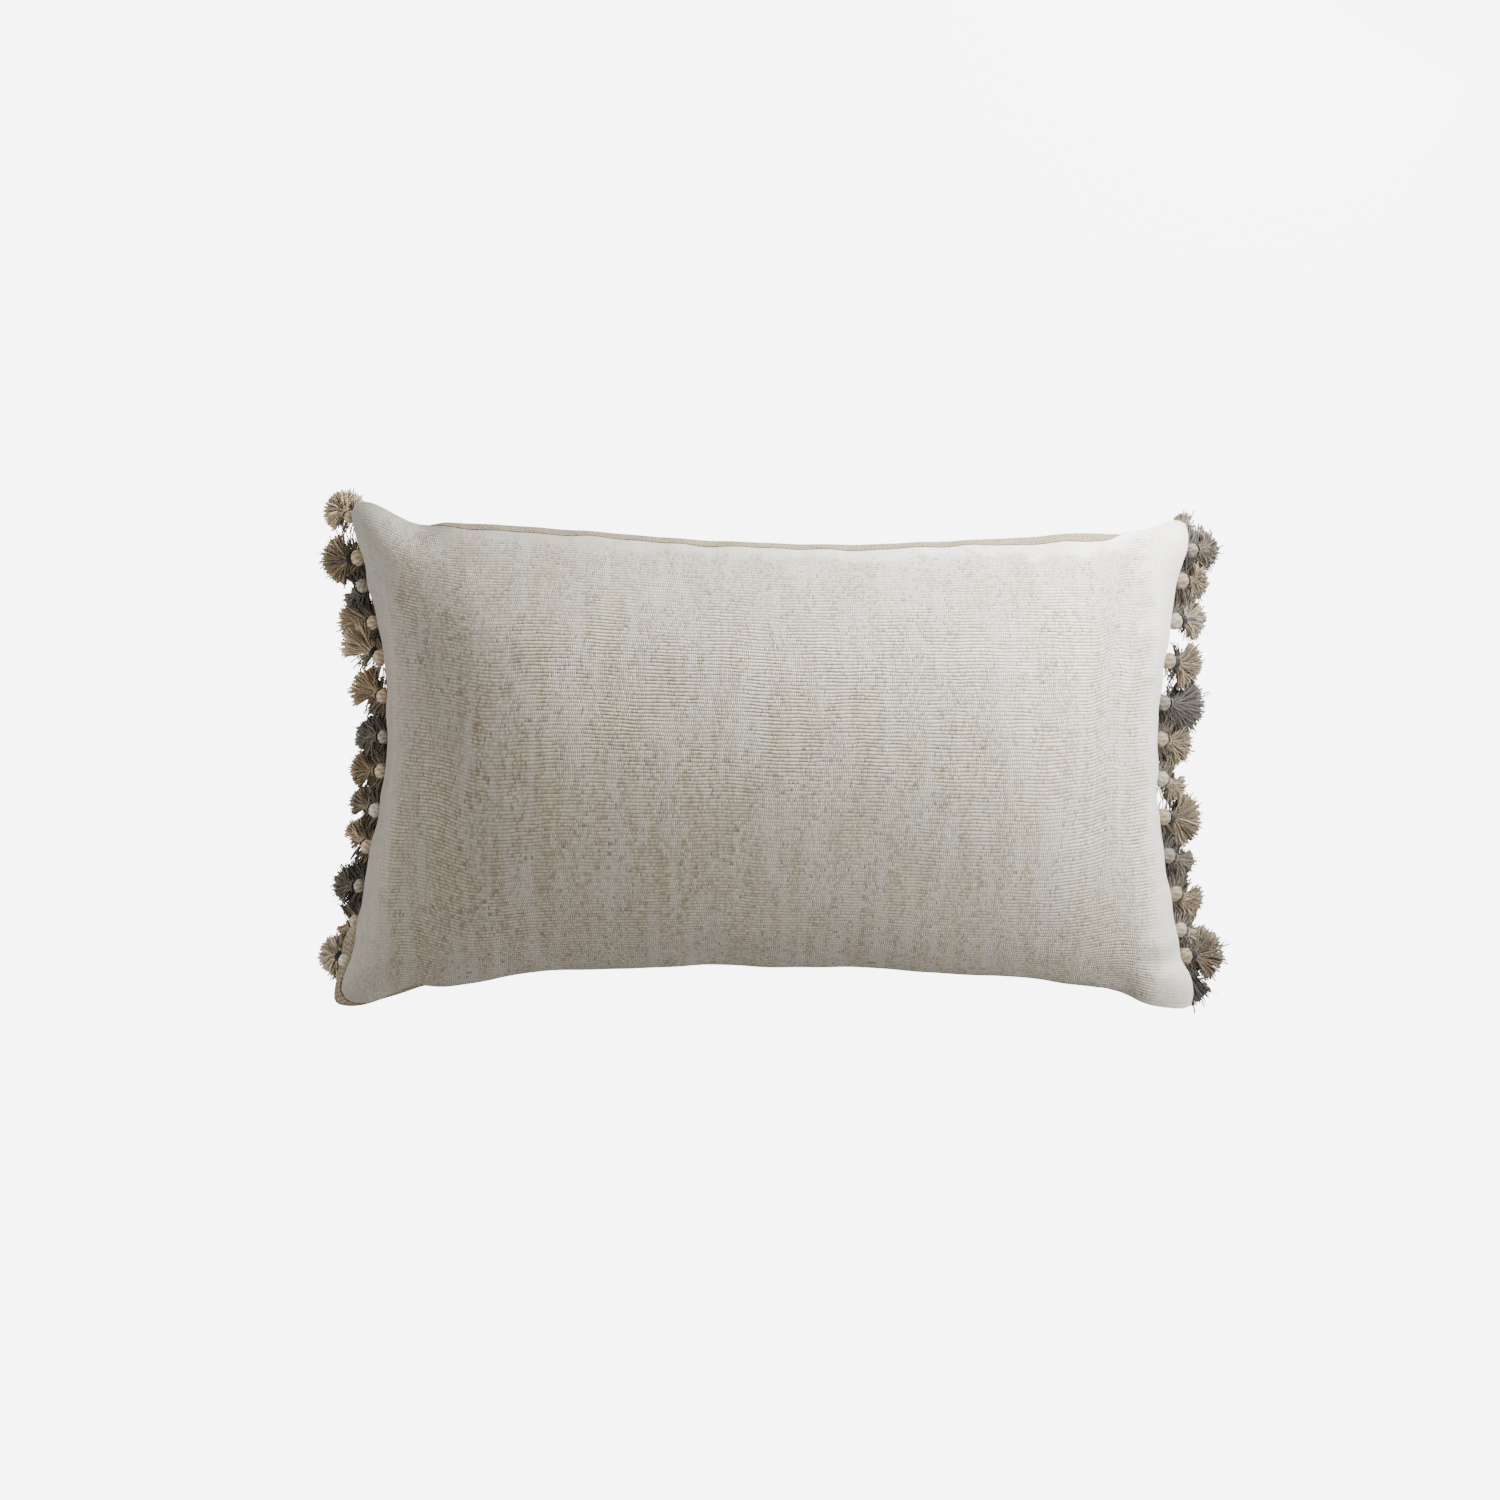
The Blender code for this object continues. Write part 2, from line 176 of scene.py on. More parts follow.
# Folds that the seams draw into the front: both ends as (x, y), half width, depth
FOLDS = (
    ((-0.2480, 0.1215), (-0.2030, 0.1290), 0.0050, 0.0016),
    ((-0.2440, 0.1090), (-0.2010, 0.1120), 0.0055, 0.0013),
    ((-0.2400, 0.0930), (-0.2120, 0.0930), 0.0060, 0.0009),
    ((-0.2370, 0.0700), (-0.2150, 0.0660), 0.0060, 0.0008),
    ((-0.2150, 0.1330), (-0.1780, 0.1160), 0.0090, 0.0022),
    ((0.2490, -0.1215), (0.2140, -0.1290), 0.0048, 0.0030),
    ((0.2440, -0.1060), (0.2160, -0.1080), 0.0060, 0.0010),
    ((-0.2430, -0.1440), (-0.2080, -0.1220), 0.0045, 0.0012),
    ((-0.2300, -0.1440), (-0.2000, -0.1250), 0.0050, 0.0012),
    ((0.2200, -0.1480), (0.1850, -0.1200), 0.0070, 0.0015),
    ((0.2360, 0.1290), (0.2050, 0.1080), 0.0070, 0.0014),
    ((0.0400, -0.1240), (0.0460, -0.0980), 0.0090, 0.0007),
    ((-0.0900, -0.1220), (-0.0840, -0.1000), 0.0100, 0.0007),
)

# The back bulges out past the seam round the bottom left corner
BULGE = 0.0135
BULGE_AT = 0.0045
BULGE_FROM = 0.034
BULGE_TO = 0.058


def smooth_curve(points, where):
    """A smooth line through given points, monotone between them."""
    px = np.array([p[0] for p in points])
    py = np.array([p[1] for p in points])
    step = np.diff(px)
    slope = np.diff(py) / step
    tangent = np.concatenate([[slope[0]], 0.5 * (slope[1:] + slope[:-1]), [slope[-1]]])
    turning = np.concatenate([[False], slope[1:] * slope[:-1] <= 0, [False]])
    tangent[turning] *= 0.3
    at = np.clip(np.asarray(where, float), px[0], px[-1])
    cell = np.clip(np.searchsorted(px, at) - 1, 0, len(step) - 1)
    t = (at - px[cell]) / step[cell]
    a = (1 + 2 * t) * (1 - t) ** 2
    b = t * (1 - t) ** 2
    c = t * t * (3 - 2 * t)
    d = t * t * (t - 1)
    start = a * py[cell] + b * step[cell] * tangent[cell]
    return start + c * py[cell + 1] + d * step[cell] * tangent[cell + 1]


def ramp(value, low, high):
    """0 below low, 1 above high, smooth between."""
    t = np.clip((value - low) / (high - low), 0.0, 1.0)
    return t * t * (3 - 2 * t)


def zip_line():
    """(a point of the zip's seam at x = 0, outward direction, direction along the skin towards the front)."""
    joint = JOINTS["zip_pull_flip"]
    towards_front = Vector(joint["axis"])
    outward = Vector((0.0, -towards_front.z, towards_front.y))
    stands_off = 0.0022
    place = Vector(joint["pos_m"]) - outward * stands_off
    return Vector((0.0, place.y, place.z)), outward, towards_front


ZIP_PLACE, ZIP_OUT, ZIP_UP = zip_line()
ZIP_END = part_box("zip_tape_front")[1].x


def section(u, begin, end, count):
    """count + 1 points at even arc along the filled section at u, between two angles from the front crown."""
    angle = np.linspace(begin, end, 400)
    left_top, left_bottom = TOP_EDGE[0][1], BOTTOM_EDGE[0][1]
    right_top, right_bottom = TOP_EDGE[-1][1], BOTTOM_EDGE[-1][1]
    share = 0.5 * (u + 1.0)
    top = smooth_curve(TOP_EDGE, TOP_EDGE[0][0] + share * (TOP_EDGE[-1][0] - TOP_EDGE[0][0]))
    bottom = smooth_curve(BOTTOM_EDGE, BOTTOM_EDGE[0][0] + share * (BOTTOM_EDGE[-1][0] - BOTTOM_EDGE[0][0]))
    v = np.sin(angle)
    y = 0.5 * (top + bottom) + 0.5 * v * (top - bottom)
    left = smooth_curve(LEFT_EDGE, 0.5 * (left_top + left_bottom) + 0.5 * v * (left_top - left_bottom))
    right = smooth_curve(RIGHT_EDGE, 0.5 * (right_top + right_bottom) + 0.5 * v * (right_top - right_bottom))
    x = left + share * (right - left)
    past = max(0.0, (abs(u) - STRAIGHT) / (1.0 - STRAIGHT))
    plump = max(0.0, 1.0 - past**2.3) ** 0.62
    lift = np.sign(np.cos(angle)) * np.abs(np.cos(angle)) ** PINCH
    z = SEAM_Z + CROWN * plump * lift
    points = np.stack([x, y, z], axis=1)
    run = np.concatenate([[0.0], np.cumsum(np.linalg.norm(np.diff(points, axis=0), axis=1))])
    even = np.linspace(0.0, run[-1], count + 1)
    return np.stack([np.interp(even, run, points[:, k]) for k in range(3)], axis=1)


def roll_angles(u):
    """The angles of the top and bottom seams, past the outline, at u."""
    x = u * 0.5 * (TOP_EDGE[-1][0] - TOP_EDGE[0][0])
    low, high = TOP_ROLL_ENDS
    top = TOP_ROLL * ramp(x, low - 0.022, low + 0.022) * (1.0 - ramp(x, high - 0.004, high + 0.005))
    top *= 1.0 + 0.12 * ramp(x, 0.10, 0.19)
    bottom = BOTTOM_ROLL * (1.0 - ramp(abs(x), 0.170, 0.235))
    return top, bottom


def base_form():
    """Front and back panels of the filled form, as grids of points [column, row]."""
    front, back = [], []
    for i in range(COLUMNS + 1):
        u = -1.0 + 2.0 * i / COLUMNS
        top, bottom = roll_angles(u)
        quarter = 0.5 * math.pi
        front.append(section(u, -quarter - bottom, quarter - top, ROWS))
        back.append(section(u, quarter - top, 3.0 * quarter - bottom, ROWS))
    front, back = np.array(front), np.array(back)
    for grid in (front, back):
        for j in range(ROWS + 1):
            row = grid[:, j]
            run = np.concatenate([[0.0], np.cumsum(np.linalg.norm(np.diff(row, axis=0), axis=1))])
            even = np.linspace(0.0, run[-1], COLUMNS + 1)
            grid[:, j] = np.stack([np.interp(even, run, row[:, k]) for k in range(3)], axis=1)
    back[:, 0] = front[:, ROWS]
    back[:, ROWS] = front[:, 0]
    back[0] = front[0, ::-1]
    back[COLUMNS] = front[COLUMNS, ::-1]
    hold_zip_seam(front, back)
    return front, back


def hold_zip_seam(front, back):
    """Brings the bottom seam onto the zip's straight line, fading out past its ends and up the panels."""
    seam = front[:, 0].copy()
    near = 1.0 - ramp(np.abs(seam[:, 0]), ZIP_END + 0.006, ZIP_END + 0.050)
    target = seam.copy()
    target[:, 1] = ZIP_PLACE.y
    target[:, 2] = ZIP_PLACE.z
    shift = (target - seam) * near[:, None]
    for row, fade in enumerate((1.0, 0.45, 0.10)):
        front[:, row] += shift * fade
    for row, fade in enumerate((0.70, 0.42, 0.20, 0.06), start=1):
        back[:, ROWS - row] += shift * fade
    back[:, ROWS] = front[:, 0]


def flat_positions():
    """Where the panels' points lie in the flat pattern, in metres from its middle."""
    across = (np.arange(COLUMNS + 1) / COLUMNS - 0.5) * PATTERN_LENGTH
    up = (np.arange(ROWS + 1) / ROWS - 0.5) * PATTERN_WIDTH
    flat = np.zeros((COLUMNS + 1, ROWS + 1, 2))
    flat[:, :, 0] = across[:, None]
    flat[:, :, 1] = up[None, :]
    return flat


def cover_indices():
    """Vertex numbers of the front and back grids, which share the seam all round."""
    front = np.arange((COLUMNS + 1) * (ROWS + 1)).reshape(COLUMNS + 1, ROWS + 1)
    back = np.full_like(front, -1)
    back[:, 0] = front[:, ROWS]
    back[:, ROWS] = front[:, 0]
    back[0] = front[0, ::-1]
    back[COLUMNS] = front[COLUMNS, ::-1]
    free = back < 0
    back[free] = front.size + np.arange(free.sum())
    return front, back


def grid_faces(index):
    a, b, c, d = index[:-1, :-1], index[1:, :-1], index[1:, 1:], index[:-1, 1:]
    return np.stack([a, b, c, d], axis=-1).reshape(-1, 4)


def mesh_from(name, points, faces):
    mesh = bpy.data.meshes.new(name)
    mesh.from_pydata([tuple(p) for p in points], [], [tuple(int(k) for k in f) for f in faces])
    mesh.update()
    obj = bpy.data.objects.new(name, mesh)
    bpy.context.scene.collection.objects.link(obj)
    return obj


def lay_pattern(obj, places):
    """Stores each point's place on the flat cloth as the pattern UV."""
    corner = np.zeros(len(obj.data.loops), np.int32)
    obj.data.loops.foreach_get("vertex_index", corner)
    layer = obj.data.uv_layers.new(name="pattern")
    layer.data.foreach_set("uv", places[corner].astype(np.float32).ravel())


def distance_from_edges(grid):
    """How far each point of a panel is from its long seams and from its short ones, along the cloth."""
    rows = np.linalg.norm(np.diff(grid, axis=1), axis=2)
    up = np.concatenate([np.zeros((COLUMNS + 1, 1)), np.cumsum(rows, axis=1)], axis=1)
    along = np.minimum(up, up[:, -1:] - up)
    columns = np.linalg.norm(np.diff(grid, axis=0), axis=2)
    run = np.concatenate([np.zeros((1, ROWS + 1)), np.cumsum(columns, axis=0)], axis=0)
    return along, np.minimum(run, run[-1:] - run)


def fill_cover(front, back):
    """Inflates the sewn cover with its edges held, and returns the filled panels."""
    index_front, index_back = cover_indices()
    count = index_back.max() + 1
    start = np.zeros((count, 3))
    start[index_back] = back
    start[index_front] = front
    flat = flat_positions()
    rest = np.zeros((count, 3))
    rest[index_back, :2] = flat[:, ::-1]
    rest[index_front, :2] = flat
    free = np.zeros(count)
    for grid, index in ((back, index_back), (front, index_front)):
        along, side = distance_from_edges(grid)
        free[index] = ramp(along, EDGE_HELD, EDGE_FREE) * ramp(side, SIDE_HELD, SIDE_FREE)
    faces = np.concatenate([grid_faces(index_front), grid_faces(index_back)])
    bag = mesh_from("cover_bag", start, faces)
    bag.shape_key_add(name="filled")
    flat_key = bag.shape_key_add(name="flat")
    flat_key.data.foreach_set("co", rest.ravel())
    held = bag.vertex_groups.new(name="held")
    held.add([int(k) for k in np.nonzero(free < 1e-6)[0]], 1.0, "REPLACE")
    cloth = bag.modifiers.new("fill", "CLOTH")
    settings = cloth.settings
    settings.quality = 7
    settings.mass = 0.25
    settings.tension_stiffness = 25
    settings.compression_stiffness = 8
    settings.shear_stiffness = 6
    settings.bending_stiffness = 1.2
    settings.tension_damping = 12
    settings.compression_damping = 12
    settings.shear_damping = 8
    settings.bending_damping = 2
    settings.air_damping = 4
    settings.vertex_group_mass = "held"
    settings.pin_stiffness = 1.0
    settings.rest_shape_key = flat_key
    settings.use_pressure = True
    settings.uniform_pressure_force = PRESSURE
    settings.effector_weights.gravity = 0.0
    cloth.collision_settings.use_collision = False
    cloth.collision_settings.use_self_collision = False
    scene = bpy.context.scene
    cloth.point_cache.frame_start = 1
    cloth.point_cache.frame_end = FRAMES
    for step in range(1, FRAMES + 1):
        scene.frame_set(step)
    shaped = bag.evaluated_get(bpy.context.evaluated_depsgraph_get()).to_mesh()
    filled = np.zeros(count * 3)
    shaped.vertices.foreach_get("co", filled)
    filled = filled.reshape(-1, 3)
    scene.frame_set(1)
    bpy.data.objects.remove(bag)
    move = filled - start
    length = np.linalg.norm(move, axis=1)
    cap = np.minimum(1.0, MOST_MOVE / np.maximum(length, 1e-9))
    filled = start + move * (cap * np.sqrt(free))[:, None]
    return filled[index_front], filled[index_back]


def lie_down(grid):
    """Presses the lowest part of the back flat on the surface under it."""
    soft = 0.004
    z = grid[:, :, 2]
    grid[:, :, 2] = 0.5 * (z + np.sqrt(z * z + soft * soft)) - 0.5 * soft * np.exp(-np.abs(z) / 0.02)
    grid[:, :, 2] = np.maximum(grid[:, :, 2], 0.0)


def unit(vectors):
    return vectors / np.maximum(np.linalg.norm(vectors, axis=-1, keepdims=True), 1e-12)


def boundary_loop(columns, rows):
    """(column, row) pairs once round a grid's edge, anticlockwise from the low corner."""
    loop = [(i, 0) for i in range(columns)]
    loop += [(columns, j) for j in range(rows)]
    loop += [(i, rows) for i in range(columns, 0, -1)]
    loop += [(0, j) for j in range(rows, 0, -1)]
    return np.array(loop)


def refine_edges(grid):
    """Adds rows and columns close to the edges of a grid of points or pattern places."""
    for _ in range(2):
        first = np.linalg.norm(grid[:, 1] - grid[:, 0], axis=-1).mean()
        shares = [reach / first for reach in LIP_ROWS]
        low = [grid[:, 0] + (grid[:, 1] - grid[:, 0]) * s for s in shares]
        high = [grid[:, -1] + (grid[:, -2] - grid[:, -1]) * s for s in reversed(shares)]
        grid = np.concatenate(
            [
                grid[:, :1],
                *[a[:, None] for a in low],
                grid[:, 1:-1],
                *[a[:, None] for a in high],
                grid[:, -1:],
            ],
            axis=1,
        )
        grid = grid.transpose(1, 0, 2)
    return grid


def seam_frames(front, back):
    """Along the front panel's edge loop: inward direction, and the direction across the seam to the front."""
    loop = boundary_loop(COLUMNS, ROWS)
    i, j = loop[:, 0], loop[:, 1]
    inner_i = np.clip(i, 1, COLUMNS - 1)
    inner_j = np.clip(j, 1, ROWS - 1)
    seam = front[i, j]
    into_front = unit(front[inner_i, inner_j] - seam)
    into_back = unit(back[inner_i, ROWS - inner_j] - seam)
    tangent = unit(np.roll(seam, -1, axis=0) - np.roll(seam, 1, axis=0))
    normal_front = unit(np.cross(tangent, into_front))
    normal_back = unit(np.cross(into_back, tangent))
    inward = unit((into_front + into_back) - 0.8 * (normal_front + normal_back))
    across = unit(np.cross(inward, tangent))
    across *= np.where((across * (into_front - into_back)).sum(axis=1) < 0, -1.0, 1.0)[:, None]
    for _ in range(3):
        inward = unit(inward + 0.5 * (np.roll(inward, 1, axis=0) + np.roll(inward, -1, axis=0)))
        across = unit(across + 0.5 * (np.roll(across, 1, axis=0) + np.roll(across, -1, axis=0)))
    return inward, across


def spread_loop(values, columns_from, rows_from, columns, rows):
    """Values along the coarse edge loop, read off at the refined grid's edge loop."""
    coarse = boundary_loop(COLUMNS, ROWS)
    fine = boundary_loop(columns, rows)
    table = np.zeros((COLUMNS + 1, ROWS + 1, 3))
    table[coarse[:, 0], coarse[:, 1]] = values
    ci = columns_from[fine[:, 0]]
    rj = rows_from[fine[:, 1]]
    return fine, unit(table[ci, rj])


def nearest_index(count, extra):
    """For each refined line, the coarse line it lies next to."""
    return np.concatenate([[0] * (1 + extra), np.arange(1, count), [count] * (1 + extra)])


def panel_object(name, grid, flat, inward, across, side, reverse):
    """One cover panel: the cloth, rounded over the seam and carried inside it as the seam allowance."""
    fine = refine_edges(grid)
    pattern = refine_edges(flat)
    columns, rows = fine.shape[0] - 1, fine.shape[1] - 1
    extra = len(LIP_ROWS)
    columns_from = nearest_index(COLUMNS, extra)
    rows_from = nearest_index(ROWS, extra)
    loop, in_dir = spread_loop(inward, columns_from, rows_from, columns, rows)
    _, across_dir = spread_loop(across, columns_from, rows_from, columns, rows)
    edge = fine[loop[:, 0], loop[:, 1]]
    at_zip = (loop[:, 1] == (rows if reverse else 0)) & (np.abs(edge[:, 0]) < ZIP_END + 0.012)
    half_gap = np.where(at_zip, ZIP_HALF_GAP * (1 - ramp(np.abs(edge[:, 0]), ZIP_END, ZIP_END + 0.012)), 0.0)
    half_gap = np.maximum(half_gap, SEAM_HALF_GAP)
    edge = edge + across_dir * (side * half_gap)[:, None]
    fine[loop[:, 0], loop[:, 1]] = edge
    for line, reach in enumerate(LIP_ROWS, start=1):
        ease = 0.45 if line == 1 else 0.1
        inner = inner_ring(columns, rows, line)
        near = np.argmin(np.linalg.norm(loop[None] - inner[:, None], axis=2), axis=1)
        push = side * half_gap[near] * (1 - reach / 0.006)
        fine[inner[:, 0], inner[:, 1]] += across_dir[near] * push[:, None]
        fine[inner[:, 0], inner[:, 1]] -= in_dir[near] * (ease * 0.0006)
    index = np.arange(fine.shape[0] * fine.shape[1]).reshape(fine.shape[:2])
    points = [fine.reshape(-1, 3)]
    places = [pattern.reshape(-1, 2)]
    faces = [grid_faces(index)]
    ring = index[loop[:, 0], loop[:, 1]]
    total = index.size
    outward_flat = pattern[loop[:, 0], loop[:, 1]]
    flat_dir = unit(outward_flat * np.array([1.0 / PATTERN_LENGTH, 1.0 / PATTERN_WIDTH]))
    for depth in LIP_DEPTHS:
        new = total + np.arange(len(loop))
        points.append(edge + in_dir * depth)
        places.append(outward_flat + flat_dir * depth)
        faces.append(np.stack([ring, new, np.roll(new, -1), np.roll(ring, -1)], axis=1))
        ring = new
        total += len(loop)
    points = np.concatenate(points)
    places = np.concatenate(places)
    faces = np.concatenate(faces)
    panel = mesh_from(name, points, faces)
    lay_pattern(panel, places)
    panel.data.shade_smooth()
    return panel


def inner_ring(columns, rows, line):
    """(column, row) pairs of the ring that lies line steps inside a grid's edge."""
    ring = [(i, line) for i in range(line, columns - line)]
    ring += [(columns - line, j) for j in range(line, rows - line)]
    ring += [(i, rows - line) for i in range(columns - line, line, -1)]
    ring += [(line, j) for j in range(rows - line, line, -1)]
    return np.array(ring)


def pucker(grid, flat):
    """The small gathers that stitching draws into the cloth beside a seam."""
    along, side = distance_from_edges(grid)
    normal = unit(np.cross(np.gradient(grid, axis=0), np.gradient(grid, axis=1)))
    x, y = flat[:, :, 0], flat[:, :, 1]
    slow = np.sin(x * 61.0 + 1.3) + np.sin(x * 137.0 + y * 23.0) + np.sin(x * 223.0 + 0.7)
    fade = np.exp(-along / PUCKER_REACH)
    grid += normal * (PUCKER * slow * fade)[:, :, None]
    slow = np.sin(y * 71.0 + 0.4) + np.sin(y * 149.0 + x * 31.0) + np.sin(y * 241.0 + 2.1)
    fade = np.exp(-side / PUCKER_REACH)
    grid += normal * (PUCKER * slow * fade)[:, :, None]


def add_folds(grid):
    """Presses the soft folds into the front panel."""
    normal = unit(np.cross(np.gradient(grid, axis=0), np.gradient(grid, axis=1)))
    place = grid[:, :, :2].copy()
    for begin, end, half_width, depth in FOLDS:
        begin, end = np.array(begin), np.array(end)
        run = end - begin
        share = ((place - begin) @ run) / (run @ run)
        nearest = begin + np.clip(share, 0.0, 1.0)[:, :, None] * run
        away = np.linalg.norm(place - nearest, axis=2)
        along = ramp(share, -0.15, 0.25) * (1.0 - ramp(share, 0.45, 1.1))
        grid -= normal * (depth * along * np.exp(-((away / half_width) ** 2)))[:, :, None]


def bulge_corner(grid):
    """Lets the back stand out past the seam round the bottom left corner."""
    along, side = distance_from_edges(grid)
    near = np.minimum(along, side)
    corner = grid[0, -1]
    reach = np.linalg.norm(grid - corner, axis=2)
    fade = 1.0 - ramp(reach, BULGE_FROM, BULGE_TO)
    amount = BULGE * fade * (near / BULGE_AT) * np.exp(1.0 - near / BULGE_AT)
    outward = grid[:, :, :2] - corner[:2] - np.array([0.055, 0.035])
    grid[:, :, :2] += unit(outward) * amount[:, :, None]


def apply_subdivision(obj, levels):
    smooth = obj.modifiers.new("smooth", "SUBSURF")
    smooth.levels = levels
    smooth.render_levels = levels
    graph = bpy.context.evaluated_depsgraph_get()
    mesh = bpy.data.meshes.new_from_object(obj.evaluated_get(graph))
    obj.modifiers.clear()
    obj.data = mesh
    mesh.shade_smooth()


# ---- Materials ----


class Finish:
    """A Principled material and short ways to add the nodes that feed it."""

    def __init__(self, name, roughness, **sockets):
        self.material = bpy.data.materials.new(name)
        self.material.use_nodes = True
        self.tree = self.material.node_tree
        self.shader = self.tree.nodes["Principled BSDF"]
        self.shader.inputs["Roughness"].default_value = roughness
        for key, value in sockets.items():
            self.shader.inputs[key.replace("_", " ")].default_value = value

    def node(self, kind, links=None, **settings):
        made = self.tree.nodes.new(kind)
        for key, value in settings.items():
            setattr(made, key, value)
        for key, value in (links or {}).items():
            socket = made.inputs[key]
            if hasattr(value, "is_output"):
                self.tree.links.new(value, socket)
            else:
                socket.default_value = value
        return made

    def math(self, operation, a, b=0.0, c=0.0):
        return self.node("ShaderNodeMath", {0: a, 1: b, 2: c}, operation=operation).outputs[0]

    def times(self, a, b):
        return self.math("MULTIPLY", a, b)

    def plus(self, a, b):
        return self.math("ADD", a, b)

    def minus(self, a, b):
        return self.math("SUBTRACT", a, b)

    def remap(self, value, low, high, to_low=0.0, to_high=1.0):
        links = {"Value": value, "From Min": low, "From Max": high, "To Min": to_low, "To Max": to_high}
        return self.node("ShaderNodeMapRange", links, interpolation_type="SMOOTHSTEP").outputs[0]

    def mix(self, share, a, b):
        made = self.node("ShaderNodeMix", data_type="RGBA")
        for socket, value in zip((made.inputs[0], made.inputs[6], made.inputs[7]), (share, a, b)):
            if hasattr(value, "is_output"):
                self.tree.links.new(value, socket)
            else:
                socket.default_value = value
        return made.outputs[2]

    def pattern(self):
        """(u, v) of the flat pattern, in metres."""
        place = self.node("ShaderNodeUVMap", uv_map="pattern").outputs[0]
        split = self.node("ShaderNodeSeparateXYZ", {0: place})
        return split.outputs[0], split.outputs[1]

    def vector(self, x, y, z=0.0):
        return self.node("ShaderNodeCombineXYZ", {0: x, 1: y, 2: z}).outputs[0]

    def noise(self, place, scale=1.0, detail=2.0, rough=0.5):
        links = {"Vector": place, "Scale": scale, "Detail": detail, "Roughness": rough}
        return self.node("ShaderNodeTexNoise", links).outputs[0]

    def colour(self, value):
        self.tree.links.new(value, self.shader.inputs["Base Color"])

    def bump(self, height, distance, strength=1.0):
        links = {"Height": height, "Distance": distance, "Strength": strength}
        made = self.node("ShaderNodeBump", links)
        self.tree.links.new(made.outputs[0], self.shader.inputs["Normal"])


def rgb(red, green, blue):
    """A linear colour from an ordinary 0 to 255 one."""
    return tuple((c / 255.0) ** 2.2 for c in (red, green, blue)) + (1.0,)


RIB = 0.0021
RIB_WANDER = 0.0022
TUFT = 0.0012


